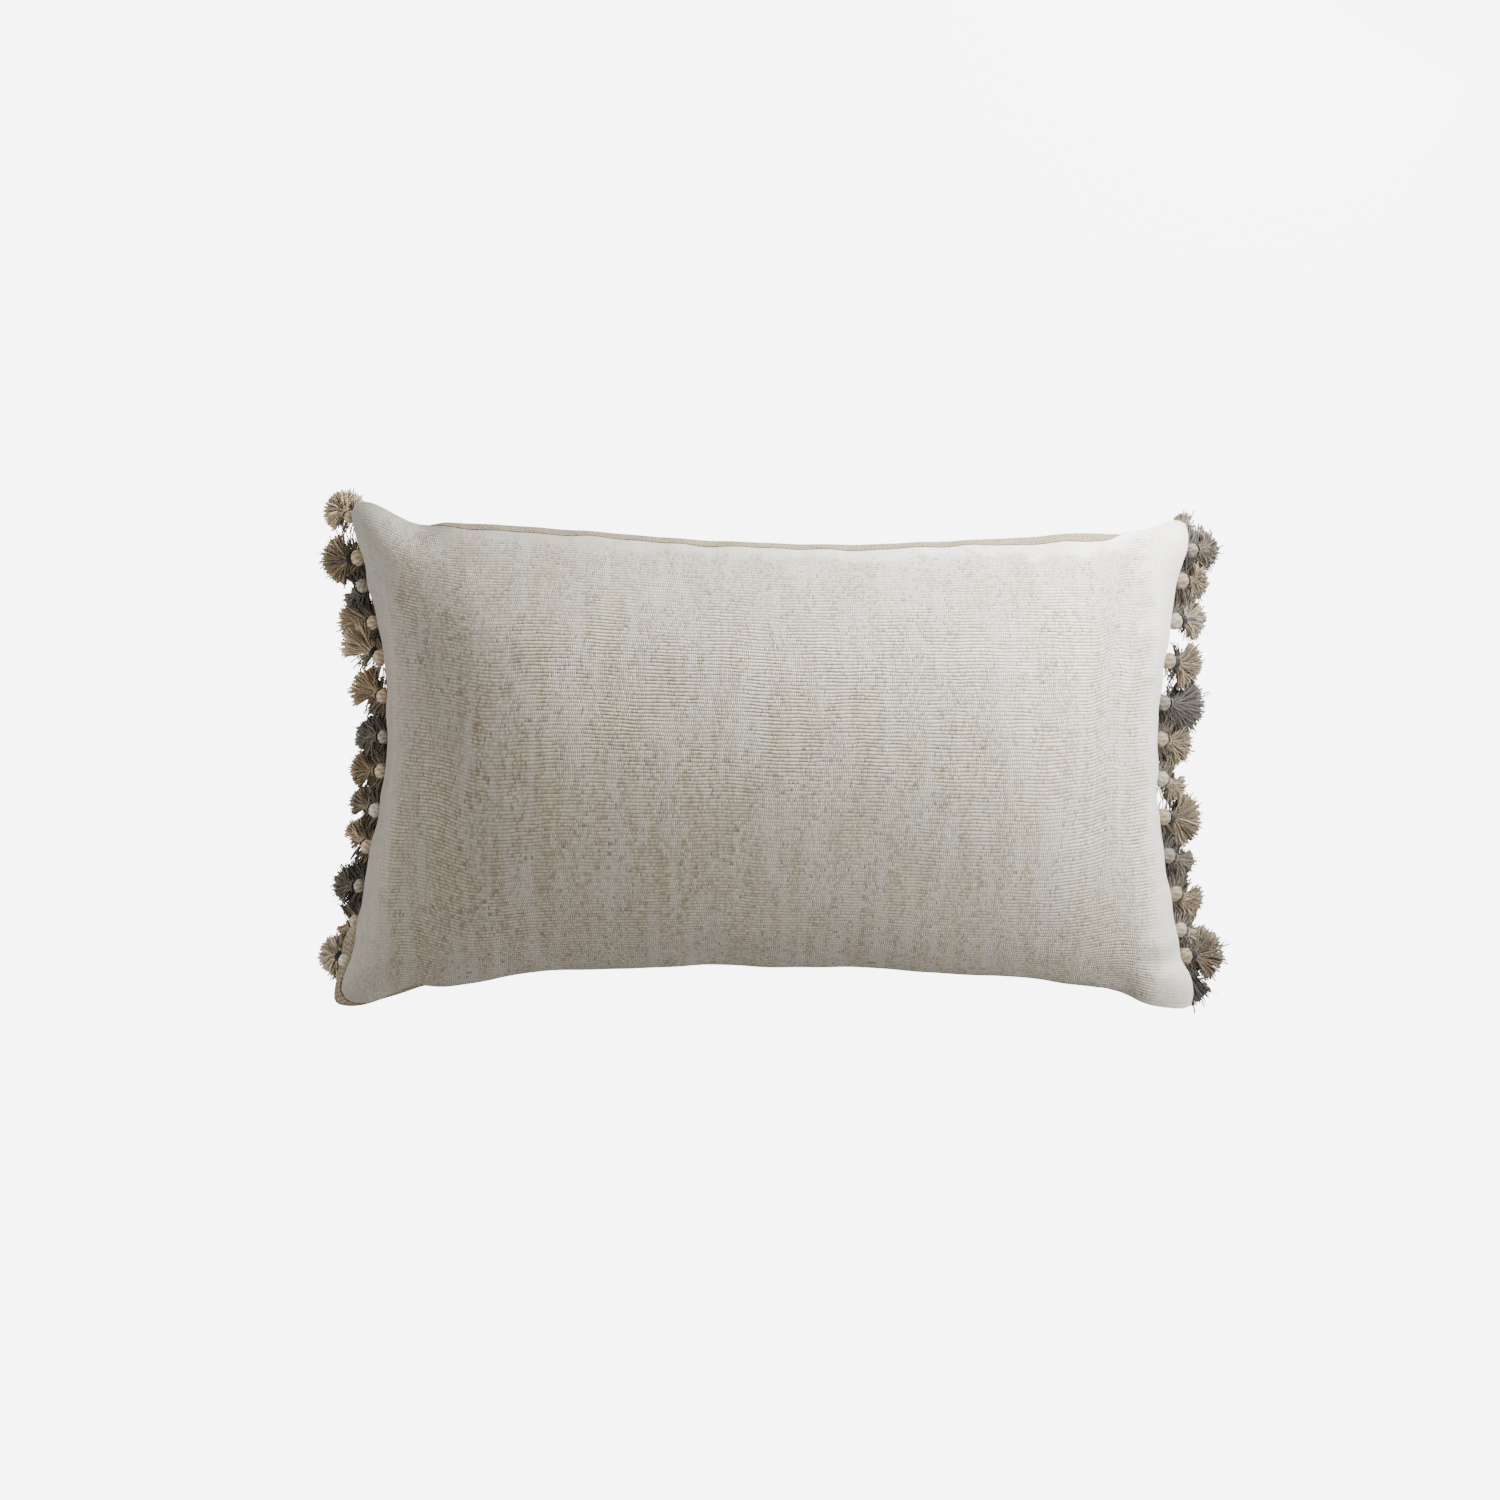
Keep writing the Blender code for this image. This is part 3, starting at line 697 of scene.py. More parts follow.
def chenille():
    """Rows of small tufts: a ribbed ground and raised patches, parted by grooves darkened with painted shade and
    by pits, partly darker ground yarn and partly painted shade.
    """
    tint = (1.0, 0.99, 0.97, 1.0)
    made = Finish("front_chenille", 0.62, Sheen_Weight=0.4, Sheen_Roughness=0.35, Sheen_Tint=tint)
    u, v = made.pattern()

    def spotted(a, b, across, up, detail=2.0, rough=0.5):
        place = made.vector(made.times(a, across), made.times(b, up))
        return made.noise(place, 1.0, detail, rough)

    def chance_of(a, b):
        links = {"Vector": made.vector(a, b)}
        return made.node("ShaderNodeTexWhiteNoise", links, noise_dimensions="2D").outputs[0]

    wave = spotted(u, v, 55.0, 90.0)
    up = made.math("DIVIDE", made.plus(v, made.times(wave, RIB_WANDER)), RIB)
    row = made.math("FLOOR", up)
    in_row = made.minus(up, row)
    across = made.plus(made.math("DIVIDE", u, TUFT), made.times(chance_of(row, 0.5), 3.0))
    tuft = made.math("FLOOR", across)
    in_tuft = made.minus(across, tuft)
    chance = chance_of(tuft, row)
    pair = chance_of(made.math("FLOOR", made.math("DIVIDE", across, 2.0)), made.plus(row, 0.37))
    dash = chance_of(made.math("FLOOR", made.math("DIVIDE", across, 3.0)), made.plus(row, 0.71))
    cell_u = made.times(tuft, TUFT)
    cell_v = made.times(row, RIB)
    block = spotted(cell_u, cell_v, 42.0, 17.0, 3.0, 0.6)
    ragged = spotted(cell_u, cell_v, 170.0, 420.0, 2.0, 0.6)
    level = made.plus(made.times(block, 0.74), made.times(ragged, 0.26))
    raised = made.remap(level, 0.485, 0.530)
    rim = made.remap(made.math("ABSOLUTE", made.minus(level, 0.505)), 0.004, 0.032, 1.0, 0.0)
    crowd = made.plus(spotted(cell_u, cell_v, 34.0, 26.0, 3.0, 0.65), made.times(v, 0.60))
    crowd = made.remap(crowd, 0.47, 0.66)
    odds = made.plus(made.times(rim, 0.13), made.times(crowd, 0.10))
    odds = made.plus(odds, 0.02)
    calm = calm_bands(made, u, v, spotted(u, v, 75.0, 75.0, 3.0))
    lively = made.minus(1.0, made.times(calm, 0.80))
    hole = made.math("GREATER_THAN", chance, made.minus(1.0, odds))
    slit = made.math("GREATER_THAN", dash, made.minus(1.0, made.times(odds, 0.16)))
    faint = made.plus(0.38, made.times(pair, 0.60))
    hole = made.times(made.math("MAXIMUM", hole, made.times(slit, 0.7)), faint)
    hole = made.times(hole, lively)
    row_top = made.math("SINE", made.times(in_row, math.pi))
    tuft_top = made.math("SINE", made.times(in_tuft, math.pi))
    dome = made.times(made.math("SQRT", row_top), made.math("SQRT", tuft_top))
    fine = spotted(u, v, 1500.0, 1500.0)
    ground_height = made.plus(made.times(row_top, 0.45), made.times(dome, 0.20))
    tall = made.plus(0.35, made.times(chance, 0.5))
    pile_height = made.plus(0.35, made.times(dome, tall))
    heights = {0: raised, 2: ground_height, 3: pile_height}
    height = made.node("ShaderNodeMix", heights, data_type="FLOAT").outputs[0]
    height = made.minus(height, made.times(hole, 0.8))
    height = made.plus(height, made.times(fine, 0.25))
    bright = made.math("POWER", chance, 0.75)
    pile = made.mix(bright, rgb(198, 184, 160), rgb(252, 248, 240))
    ground = made.mix(bright, rgb(195, 181, 156), rgb(250, 243, 229))
    cloth = made.mix(raised, ground, pile)
    warm = made.remap(spotted(u, v, 20.0, 20.0, 3.0), 0.38, 0.68, 0.0, 0.14)
    cloth = made.mix(warm, cloth, rgb(214, 198, 170))
    streak = made.plus(spotted(u, v, 130.0, 10.0), made.times(ragged, 0.35))
    cloth = made.mix(made.remap(streak, 0.64, 0.80, 0.0, 0.50), cloth, rgb(252, 249, 242))
    # Painted sheen: a near-white haze mixed into the cloth in patches, leaning towards the top and the right edge;
    # it also lightens the grooves' painted shade
    painted_sheen_lean = made.plus(made.times(v, 1.6), made.times(u, 0.45))
    painted_sheen = made.plus(spotted(u, v, 17.0, 22.0, 3.0, 0.6), made.times(ragged, 0.30))
    painted_sheen = made.remap(made.plus(painted_sheen, painted_sheen_lean), 0.80, 1.02)
    cloth = made.mix(made.times(painted_sheen, 0.45), cloth, rgb(253, 250, 244))
    # Painted shade: grooves between rows and notches between tufts are darkened towards dark brown, less on raised
    # patches and under the painted sheen
    groove = made.remap(row_top, 0.0, 0.80, 1.0, 0.0)
    depth = made.minus(0.85, made.times(raised, 0.30))
    depth = made.times(depth, made.plus(0.65, made.times(pair, 0.35)))
    depth = made.times(depth, made.minus(1.0, made.times(painted_sheen, 0.35)))
    groove = made.times(groove, depth)
    notch = made.times(made.remap(tuft_top, 0.0, 0.7, 1.0, 0.0), 0.45)
    dark = made.times(made.math("MAXIMUM", groove, notch), lively)
    cloth = made.mix(dark, cloth, rgb(127, 113, 90))
    # Pits in the pile: partly the darker ground yarn, partly painted shade in the hollow
    cloth = made.mix(made.times(hole, 0.66), cloth, rgb(104, 92, 70))
    # Painted light: the smooth bands are mixed towards grey on the left (painted shade) and near-white on the
    # right (painted highlight)
    band_painted_light = made.mix(made.remap(u, -0.2, 0.2), rgb(184, 185, 179), rgb(247, 246, 242))
    cloth = made.mix(made.times(calm, 0.60), cloth, band_painted_light)
    # Painted shade: the cloth colour is multiplied darker and warmer towards the bottom left and kept near its own
    # colour towards the top right
    drift = made.plus(made.times(u, 2.5), made.times(v, 4.0))
    painted_shade_tint = made.mix(made.remap(drift, -0.8, 1.3), (0.64, 0.605, 0.545, 1.0), (1.0, 0.99, 0.965, 1.0))
    made.colour(made.node("ShaderNodeVectorMath", {0: cloth, 1: painted_shade_tint}, operation="MULTIPLY").outputs[0])
    made.bump(made.times(height, lively), 0.0010, 1.0)
    return made.material


def calm_bands(made, u, v, cloud):
    """1 where the pile lies smooth, in ragged bands along the short sides and the top edge, else 0."""
    wander = made.times(made.minus(cloud, 0.5), 0.035)
    sides = made.remap(made.plus(made.math("ABSOLUTE", u), wander), 0.214, 0.240)
    top = made.remap(made.plus(v, wander), 0.136, 0.150)
    return made.math("MAXIMUM", sides, top)


def woven(name, light, dark, warp, weft, depth, slub=0.5):
    """A plain weave on the flat pattern, with uneven yarns."""
    made = Finish(name, 0.92, Sheen_Weight=0.12, Sheen_Roughness=0.6)
    u, v = made.pattern()
    across = made.math("DIVIDE", u, warp)
    up = made.math("DIVIDE", v, weft)
    over = made.math("SINE", made.times(across, math.pi))
    under = made.math("SINE", made.times(up, math.pi))
    cross = made.times(over, under)
    threads = made.plus(made.math("ABSOLUTE", over), made.math("ABSOLUTE", under))
    long_yarn = made.noise(made.vector(made.times(u, 60.0), made.times(up, 1.0)), 1.0, 2.0)
    tall_yarn = made.noise(made.vector(made.times(across, 1.0), made.times(v, 60.0)), 1.0, 2.0)
    yarns = made.times(made.plus(long_yarn, tall_yarn), 0.5)
    tone = made.plus(made.times(cross, 0.22), yarns)
    cloth = made.mix(made.remap(tone, 0.28, 0.74), dark, light)
    # Painted shade: the gaps between threads are darkened
    gaps = made.remap(threads, 0.25, 0.75, 1.0, 0.0)
    made.colour(made.mix(made.times(gaps, 0.75), cloth, tuple(0.35 * c for c in dark[:3]) + (1.0,)))
    height = made.plus(made.times(threads, 0.5), made.times(cross, 0.3))
    made.bump(made.plus(height, made.times(yarns, slub)), depth)
    return made.material


def yarn(name, colour, deep=0.30):
    """Spun yarn: each strand has its own tone, and its fibres show as a fine bump."""
    made = Finish(name, 0.85, Sheen_Weight=0.25, Sheen_Roughness=0.5)
    tone = made.node("ShaderNodeAttribute", attribute_name="tone").outputs["Fac"]
    place = made.node("ShaderNodeTexCoord").outputs["Object"]
    fibre = made.noise(place, 2600.0, 2.0)
    base = np.array(colour[:3])
    dark = tuple(base * deep) + (1.0,)
    light = tuple(base * min(1.5, 0.98 / base.max())) + (1.0,)
    share = made.plus(made.times(tone, 0.8), made.times(fibre, 0.3))
    dyed = made.mix(made.remap(share, 0.1, 1.0), dark, light)
    # The shade attribute scales the colour per side: painted light that evens out the left and right tassels
    shade = made.node("ShaderNodeAttribute", attribute_name="shade").outputs["Fac"]
    made.colour(made.node("ShaderNodeVectorMath", {0: dyed, "Scale": shade}, operation="SCALE").outputs[0])
    made.bump(fibre, 0.00015, 0.6)
    return made.material


def plain(name, colour, roughness, metallic, grain, depth):
    """Metal or moulded plastic: a base colour broken by faint wear, and a fine surface grain."""
    made = Finish(name, roughness, Metallic=metallic)
    place = made.node("ShaderNodeTexCoord").outputs["Object"]
    fine = made.noise(place, grain, 4.0, 0.6)
    dark = tuple(0.62 * c for c in colour[:3]) + (1.0,)
    made.colour(made.mix(made.remap(fine, 0.35, 0.7), dark, colour))
    rough = made.remap(fine, 0.2, 0.8, roughness * 0.8, min(1.0, roughness * 1.3))
    made.tree.links.new(rough, made.shader.inputs["Roughness"])
    made.bump(fine, depth, 0.5)
    return made.material


# ---- Tassels ----

YARN_COLOURS = {
    "ivory": rgb(222, 204, 176),
    "beige": rgb(206, 184, 152),
    "tan": rgb(184, 161, 128),
    "brown": rgb(166, 146, 116),
    "taupe": rgb(146, 131, 111),
    "grey": rgb(120, 111, 99),
}
HEAD_COLOURS = {
    "cream": rgb(232, 219, 200),
    "straw": rgb(202, 179, 147),
    "stone": rgb(166, 153, 136),
}

# Each tassel from the top corner down: how far its cord has crept along the seam, head tone and size,
# direction and half spread of its skirt in degrees, skirt length, lift in degrees, and how unruly its
# yarns are. A direction of 0 is straight out from the side, and positive turns towards the top edge.
# The last two say how full the loose yarn is that lies along the seam above and below it, from 0 to 1.
LEFT_TASSELS = (
    (-0.0040, "straw", 0.78, 50, 105, 0.0140, 10, 0.7, 0.6, 0.1),
    (-0.0050, "straw", 1.00, -5, 70, 0.0180, 8, 1.0, 0.2, 1.0),
    (0.0015, "stone", 0.88, -62, 50, 0.0115, -6, 1.3, 1.0, 1.0),
    (0.0000, "straw", 0.88, 12, 44, 0.0185, -6, 1.1, 1.0, 1.0),
    (0.0010, "straw", 0.96, 44, 50, 0.0215, 12, 0.7, 1.0, 0.1),
    (0.0000, "straw", 0.88, 32, 58, 0.0175, 0, 1.0, 0.15, 1.0),
    (-0.0015, "stone", 0.84, 0, 74, 0.0142, 0, 1.6, 1.0, 1.0),
    (0.0000, "straw", 0.90, 5, 52, 0.0150, 10, 0.8, 1.0, 1.0),
    (-0.0018, "cream", 0.90, 38, 62, 0.0132, 0, 1.2, 1.0, 1.0),
    (-0.0020, "straw", 0.90, 62, 44, 0.0140, 4, 0.9, 1.0, 1.0),
    (-0.0022, "stone", 0.84, 5, 60, 0.0125, 10, 1.4, 1.0, 1.0),
    (0.0000, "straw", 0.86, -52, 48, 0.0100, -8, 1.0, 1.0, 1.0),
    (-0.0030, "cream", 0.88, 40, 125, 0.0135, 10, 0.5, 0.6, 0.3),
    (0.0160, "straw", 0.86, -20, 40, 0.0115, -10, 1.0, 0.2, 0.1),
)
RIGHT_TASSELS = (
    (-0.0170, "straw", 0.86, 98, 30, 0.0108, -2, 0.8, 0.2, 0.8),
    (-0.0008, "stone", 0.84, 2, 78, 0.0128, 10, 1.5, 0.8, 1.0),
    (0.0033, "straw", 1.00, -5, 88, 0.0118, 26, 1.0, 1.0, 1.0),
    (0.0008, "cream", 1.02, 15, 82, 0.0148, 6, 1.7, 0.9, 0.0),
    (0.0000, "straw", 0.98, -15, 70, 0.0165, 8, 1.0, 0.0, 0.1),
    (-0.0030, "stone", 0.94, -12, 58, 0.0215, 6, 1.4, 0.1, 1.0),
    (-0.0024, "straw", 0.92, -22, 70, 0.0160, 2, 1.0, 1.0, 1.0),
    (-0.0035, "cream", 0.92, -36, 56, 0.0120, 0, 1.2, 1.0, 0.1),
    (-0.0048, "straw", 1.00, -12, 76, 0.0190, 10, 1.0, 0.1, 1.0),
    (-0.0052, "stone", 0.94, -34, 60, 0.0128, 2, 1.2, 1.0, 1.0),
    (-0.0056, "straw", 0.96, -34, 68, 0.0138, 6, 1.2, 1.0, 1.0),
    (-0.0052, "cream", 0.90, -32, 52, 0.0128, 0, 1.4, 1.0, 0.6),
    (0.0003, "straw", 1.00, 8, 70, 0.0195, 12, 0.7, 0.6, 0.8),
    (0.0170, "stone", 0.86, -70, 38, 0.0205, -4, 1.0, 0.8, 0.3),
)
# Tassels partly or wholly behind the cover: how far in from its edge, and how far below the seam
TUCKED = {
    "tassel_left_01": (0.0024, 0.0020),
    "tassel_left_10": (0.0020, 0.0016),
    "tassel_left_12": (0.0024, 0.0020),
    "tassel_left_13": (0.0014, 0.0012),
    "tassel_left_14": (0.0160, 0.0085),
    "tassel_right_01": (0.0045, 0.0060),
    "tassel_right_14": (0.0036, 0.0060),
}

HEAD_RADIUS = 0.0050
HEAD_CENTRE = 0.0050
HEAD_DROOP = 42.0
NECK_DROOP = 30.0
SKIRT_DROOP = 16.0
NECK_REACH = 0.0055
NECK_RADIUS = 0.0030
ROOT_TUCK = 0.0012
CORNER_ROOM = 0.004
# Painted light: yarn and head colours scaled per side, lighter on the left and darker on the right, against the
# stronger light on the right
YARN_PAINTED_LIGHT = {"left": 0.90, "right": 0.36}
STRANDS = 300
UNDER_STRANDS = 110
LOOSE_STRANDS = 150
STRAND_RADIUS = 0.00036
STRAND_POINTS = 8


class Tubes:
    """Gathers thin tubes into one mesh, each with its own tone."""

    def __init__(self, sides=5):
        self.sides = sides
        self.points, self.faces, self.tones = [], [], []
        self.total = 0

    def add(self, path, radii, tone):
        """path is (n, 3), radii is (n,). The ends are closed."""
        path = np.asarray(path, float)
        count = len(path)
        tangent = unit(np.gradient(path, axis=0))
        guide = np.array([0.0, 0.0, 1.0]) if abs(tangent[0, 2]) < 0.9 else np.array([0.0, 1.0, 0.0])
        side = unit(np.cross(tangent, guide))
        up = unit(np.cross(side, tangent))
        turn = 2 * math.pi * np.arange(self.sides) / self.sides
        ring = np.cos(turn)[None, :, None] * side[:, None] + np.sin(turn)[None, :, None] * up[:, None]
        points = path[:, None] + ring * np.asarray(radii)[:, None, None]
        index = self.total + np.arange(count * self.sides).reshape(count, self.sides)
        near, far = index[:-1], index[1:]
        quads = np.stack([near, np.roll(near, -1, axis=1), np.roll(far, -1, axis=1), far], axis=-1)
        self.faces.extend(quads.reshape(-1, 4).tolist())
        self.faces.append(index[0, ::-1].tolist())
        self.faces.append(index[-1].tolist())
        self.points.append(points.reshape(-1, 3))
        self.tones.append(np.zeros(count * self.sides) + tone)
        self.total += count * self.sides

    def surface(self, points, faces, tone):
        self.points.append(points)
        self.faces.extend([[k + self.total for k in face] for face in faces])
        self.tones.append(np.zeros(len(points)) + tone)
        self.total += len(points)

    def object(self, name, shade=1.0):
        mesh = bpy.data.meshes.new(name)
        mesh.from_pydata(np.concatenate(self.points).tolist(), [], self.faces)
        attribute = mesh.attributes.new("tone", "FLOAT", "POINT")
        attribute.data.foreach_set("value", np.concatenate(self.tones).astype(np.float32))
        attribute = mesh.attributes.new("shade", "FLOAT", "POINT")
        attribute.data.foreach_set("value", np.full(self.total, shade, np.float32))
        mesh.shade_smooth()
        mesh.update()
        made = bpy.data.objects.new(name, mesh)
        bpy.context.scene.collection.objects.link(made)
        return made


def direction_of(yaw, lift):
    """A unit direction from an angle in the tassel's plane and one out of it, in degrees."""
    yaw, lift = np.radians(yaw), np.radians(lift)
    return np.stack([np.cos(yaw) * np.cos(lift), np.sin(yaw) * np.cos(lift), np.sin(lift)], axis=-1)


def axes_along(forward):
    """A frame whose first row is forward and whose third is as upright as it can be."""
    side = unit(np.cross([0.0, 0.0, 1.0], forward))
    return np.stack([forward, side, np.cross(forward, side)])


def helix(start, end, radius, turns, phase, count):
    s = np.linspace(0.0, 1.0, count)
    a = phase + 2 * math.pi * turns * s
    return np.stack([start + (end - start) * s, radius * np.cos(a), radius * np.sin(a)], axis=1)


def wound_ball(made, centre, axes, radius, random):
    """The yarn-wound head, closed at both ends, with its winding as ridges."""
    around, along = 32, 30
    t, a = np.meshgrid(
        np.linspace(0.05, 0.95, along) * math.pi, 2 * math.pi * np.arange(around) / around, indexing="ij"
    )
    wind = np.cos(8.0 * a + 2.6 * t + random.uniform(0, 6)) + 0.5 * np.cos(5.0 * a - 4.0 * t)
    reach = radius * (1.0 + 0.045 * wind * np.sin(t))
    spread = reach * np.sin(t)
    local = np.stack([-0.93 * reach * np.cos(t), spread * np.cos(a), spread * np.sin(a)], -1)
    points = centre + local.reshape(-1, 3) @ axes
    index = np.arange(along * around).reshape(along, around)
    near, far = index[:-1], index[1:]
    quads = np.stack([near, np.roll(near, -1, axis=1), np.roll(far, -1, axis=1), far], axis=-1)
    faces = quads.reshape(-1, 4).tolist() + [index[0, ::-1].tolist(), index[-1].tolist()]
    # Tone follows the winding: painted shade in the troughs and painted highlight on the crests
    made.surface(points, faces, 0.5 + 0.36 * wind.reshape(-1))


class Tassel:
    """Where a tassel's head, neck and skirt lie from its hinge, with +X straight out from the side."""

    def __init__(self, turn, size, direction, lift, shade):
        yaw = turn * direction
        self.centre = HEAD_CENTRE * direction_of(0.35 * yaw, -HEAD_DROOP)
        self.radius = HEAD_RADIUS * size
        self.axis = direction_of(0.85 * yaw, 0.5 * lift - NECK_DROOP)
        self.axes = axes_along(self.axis)
        self.neck = self.centre + self.axis * NECK_REACH * size
        self.yaw = yaw
        self.lift = lift - SKIRT_DROOP
        self.turn = turn
        self.shade = shade

    def head(self, name, random):
        """The wound head and the twisted cord that carries it."""
        made = Tubes(6)
        wound_ball(made, self.centre, self.axes, self.radius, random)
        cord_axes = axes_along(unit(self.centre))
        length = float(np.linalg.norm(self.centre)) - 0.8 * self.radius
        for ply in range(2):
            path = helix(-0.0010, max(length, 0.0008), 0.0004, 1.2, ply * math.pi, 14) @ cord_axes
            made.add(path, np.full(14, 0.00045), 0.8)
        return made.object(name, self.shade)

    def binding(self, name, dark, random):
        """Thread wound tightly round the neck."""
        made = Tubes(6)
        wire = 0.00044 if dark else 0.00034
        half = 0.00125 if dark else 0.0006
        turns = 3.8 if dark else 2.2
        count = 76
        path = helix(-half, half, NECK_RADIUS + 0.6 * wire, turns, random.uniform(0, 6), count)
        made.add(self.neck + path @ self.axes, np.full(count, wire), 0.5)
        return made.object(name, self.shade)

    def skirt(self, name, spread, length, unruly, full, random):
        """The fan of cut yarn: strands leave the neck together, open out and droop over a lower layer coloured
        with painted shade.
        """
        made = Tubes(4)
        core = helix(-0.0018, 0.0030, 0.0, 0.0, 0.0, 6)
        made.add(self.neck + core @ self.axes, [0.0021, 0.0026, 0.0025, 0.0026, 0.0022, 0.0012], 0.25)
        for k in range(STRANDS):
            share = (k + random.uniform(0.0, 1.0)) / STRANDS * 2.0 - 1.0
            share = math.copysign(abs(share) ** 0.92, share)
            yaw = self.yaw + spread * share + random.normal(0.0, 3.5 * unruly)
            rise = self.lift + random.normal(0.0, 13.0) * (1.0 - 0.3 * abs(share)) - 4.0 * abs(share)
            reach = length * random.uniform(0.86, 1.03) * (1.0 - 0.06 * abs(share))
            if random.uniform() < 0.05 * unruly:
                reach *= random.uniform(1.05, 1.18)
            self.strand(made, yaw, rise, reach, unruly, 0.46, random)
        # The lower layer's dark tone is painted shade, standing in for the shadow under the skirt and the cover
        for _ in range(UNDER_STRANDS):
            yaw = 0.6 * self.yaw + random.uniform(-1.0, 1.0) * min(spread + 35.0, 105.0)
            rise = self.lift - random.uniform(22.0, 55.0)
            self.strand(made, yaw, rise, length * random.uniform(0.60, 0.92), 1.5 * unruly, 0.10, random)
        for _ in range(int(1 + 2 * unruly)):
            self.stray(made, spread, length, random)
        for way, share in zip((self.turn, -self.turn), full):
            for _ in range(int(LOOSE_STRANDS * share)):
                self.loose(made, way, random)
        return made.object(name, self.shade)

    def loose(self, made, way, random):
        """One yarn, darkened with painted shade, that lies along the seam, between this tassel and the next."""
        s = np.linspace(0.0, 1.0, STRAND_POINTS)[:, None]
        start = self.neck * random.uniform(0.0, 0.95) + np.array([0.0, 0.0, -0.0015])
        aim = direction_of(way * random.uniform(45.0, 98.0), -random.uniform(8.0, 45.0))
        reach = random.uniform(0.0090, 0.0175)
        path = start + aim * reach * s
        path += np.sin(s * math.pi) * random.normal(0.0, 0.0009, 3)
        path[:, 0] = np.maximum(path[:, 0], 0.0004)
        radius = STRAND_RADIUS * random.uniform(0.8, 1.2)
        # The low tone is painted shade for the gap between tassels
        made.add(path, np.full(STRAND_POINTS, radius), random.uniform(0.0, 0.30))

    def strand(self, made, yaw, rise, reach, unruly, tone, random):
        """One cut yarn, from inside the neck along its axis and then out towards its own tip."""
        s = np.linspace(0.0, 1.0, STRAND_POINTS)[:, None]
        round_neck = random.uniform(0.0, 2 * math.pi)
        out = 0.0025 * math.sqrt(random.uniform(0.02, 1.0))
        ring = np.array([0.0002, out * math.cos(round_neck), out * math.sin(round_neck)])
        start = self.neck + ring @ self.axes
        aim = direction_of(yaw, rise)
        bend = start + self.axis * 0.0024 + aim * 0.30 * reach
        end = self.neck + aim * reach
        end[2] -= 0.0010
        path = (1 - s) ** 2 * start + 2 * s * (1 - s) * bend + s**2 * end
        wave = random.normal(0.0, 0.00020 * unruly, 3)
        path += np.sin(s * math.pi * 1.6) * wave * 1.5 + np.sin(s * math.pi * 2.9 + 1.0) * s * wave[::-1]
        thick = STRAND_RADIUS * random.uniform(0.8, 1.2)
        # Tone rises towards the tip: painted shade near the neck, on top of random tone
        tones = np.clip(random.normal(tone, 0.65 * tone) + 0.25 * s[:, 0], 0.0, 1.0)
        made.add(path, thick * (0.9 + 0.2 * s[:, 0]), np.repeat(tones, made.sides))

    def stray(self, made, spread, length, random):
        """A thin pulled thread that curls away from the skirt."""
        count = 14
        s = np.linspace(0.0, 1.0, count)[:, None]
        begin_yaw = self.yaw + random.uniform(-spread, spread)
        begin = direction_of(begin_yaw, self.lift + random.uniform(5.0, 20.0))
        end_yaw = self.yaw + random.uniform(-1.3, 1.3) * spread
        finish = direction_of(end_yaw, self.lift + random.uniform(-5.0, 20.0))
        middle = self.neck + begin * length * 0.8
        end = middle + finish * length * random.uniform(0.25, 0.55)
        path = (1 - s) ** 2 * (self.neck + self.axis * 0.001) + 2 * s * (1 - s) * middle + s**2 * end
        path += np.sin(s * 9.0) * random.normal(0.0, 0.0005, 3)
        made.add(path, np.full(count, 0.00014), 0.8)


def make_tassels(word, side, specs, yarns, heads, thread, edge):
    """Three pieces for each tassel, which hang from the cover's edge and turn with the tassel's own body."""
    slots = {row["node"]: row["material_slot"] for row in frame["record"]["subparts"]}
    order = np.argsort(edge[:, 1])
    edge_x, edge_y = edge[order, 0], edge[order, 1]
    shade = YARN_PAINTED_LIGHT[word]
    for number, spec in enumerate(specs, start=1):
        creep, tone, size, direction, spread, length, lift, unruly, *full = spec
        body = f"tassel_{word}_{number:02d}"
        random = np.random.RandomState((2000 if side > 0 else 1000) + number)
        dark = body + "_neck_wrap" in slots
        tassel = Tassel(side, size, direction, lift, shade)
        head = tassel.head(body + "_head", random)
        binding = tassel.binding(body + "_binding", dark, random)
        skirt = tassel.skirt(body + "_skirt", spread, length, unruly, full, random)
        head.data.materials.append(heads[tone])
        binding.data.materials.append(thread if dark else yarns[slots[body]])
        skirt.data.materials.append(yarns[slots[body]])
        hinge_y = JOINTS[body + "_swing"]["pos_m"][1]
        y = np.clip(hinge_y + creep, edge_y[0] + CORNER_ROOM, edge_y[-1] - CORNER_ROOM)
        inward, below = TUCKED.get(body, (ROOT_TUCK, 0.0))
        root = np.array([np.interp(y, edge_y, edge_x) - side * inward, y, SEAM_Z - below])
        for piece in (head, binding, skirt):
            piece.location = root
            piece.rotation_euler = (0.0, 0.0, 0.0 if side > 0 else math.pi)
            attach(piece, body)
        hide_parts(body)
        if dark:
            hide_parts(body + "_neck_wrap")


# ---- Trim tape ----


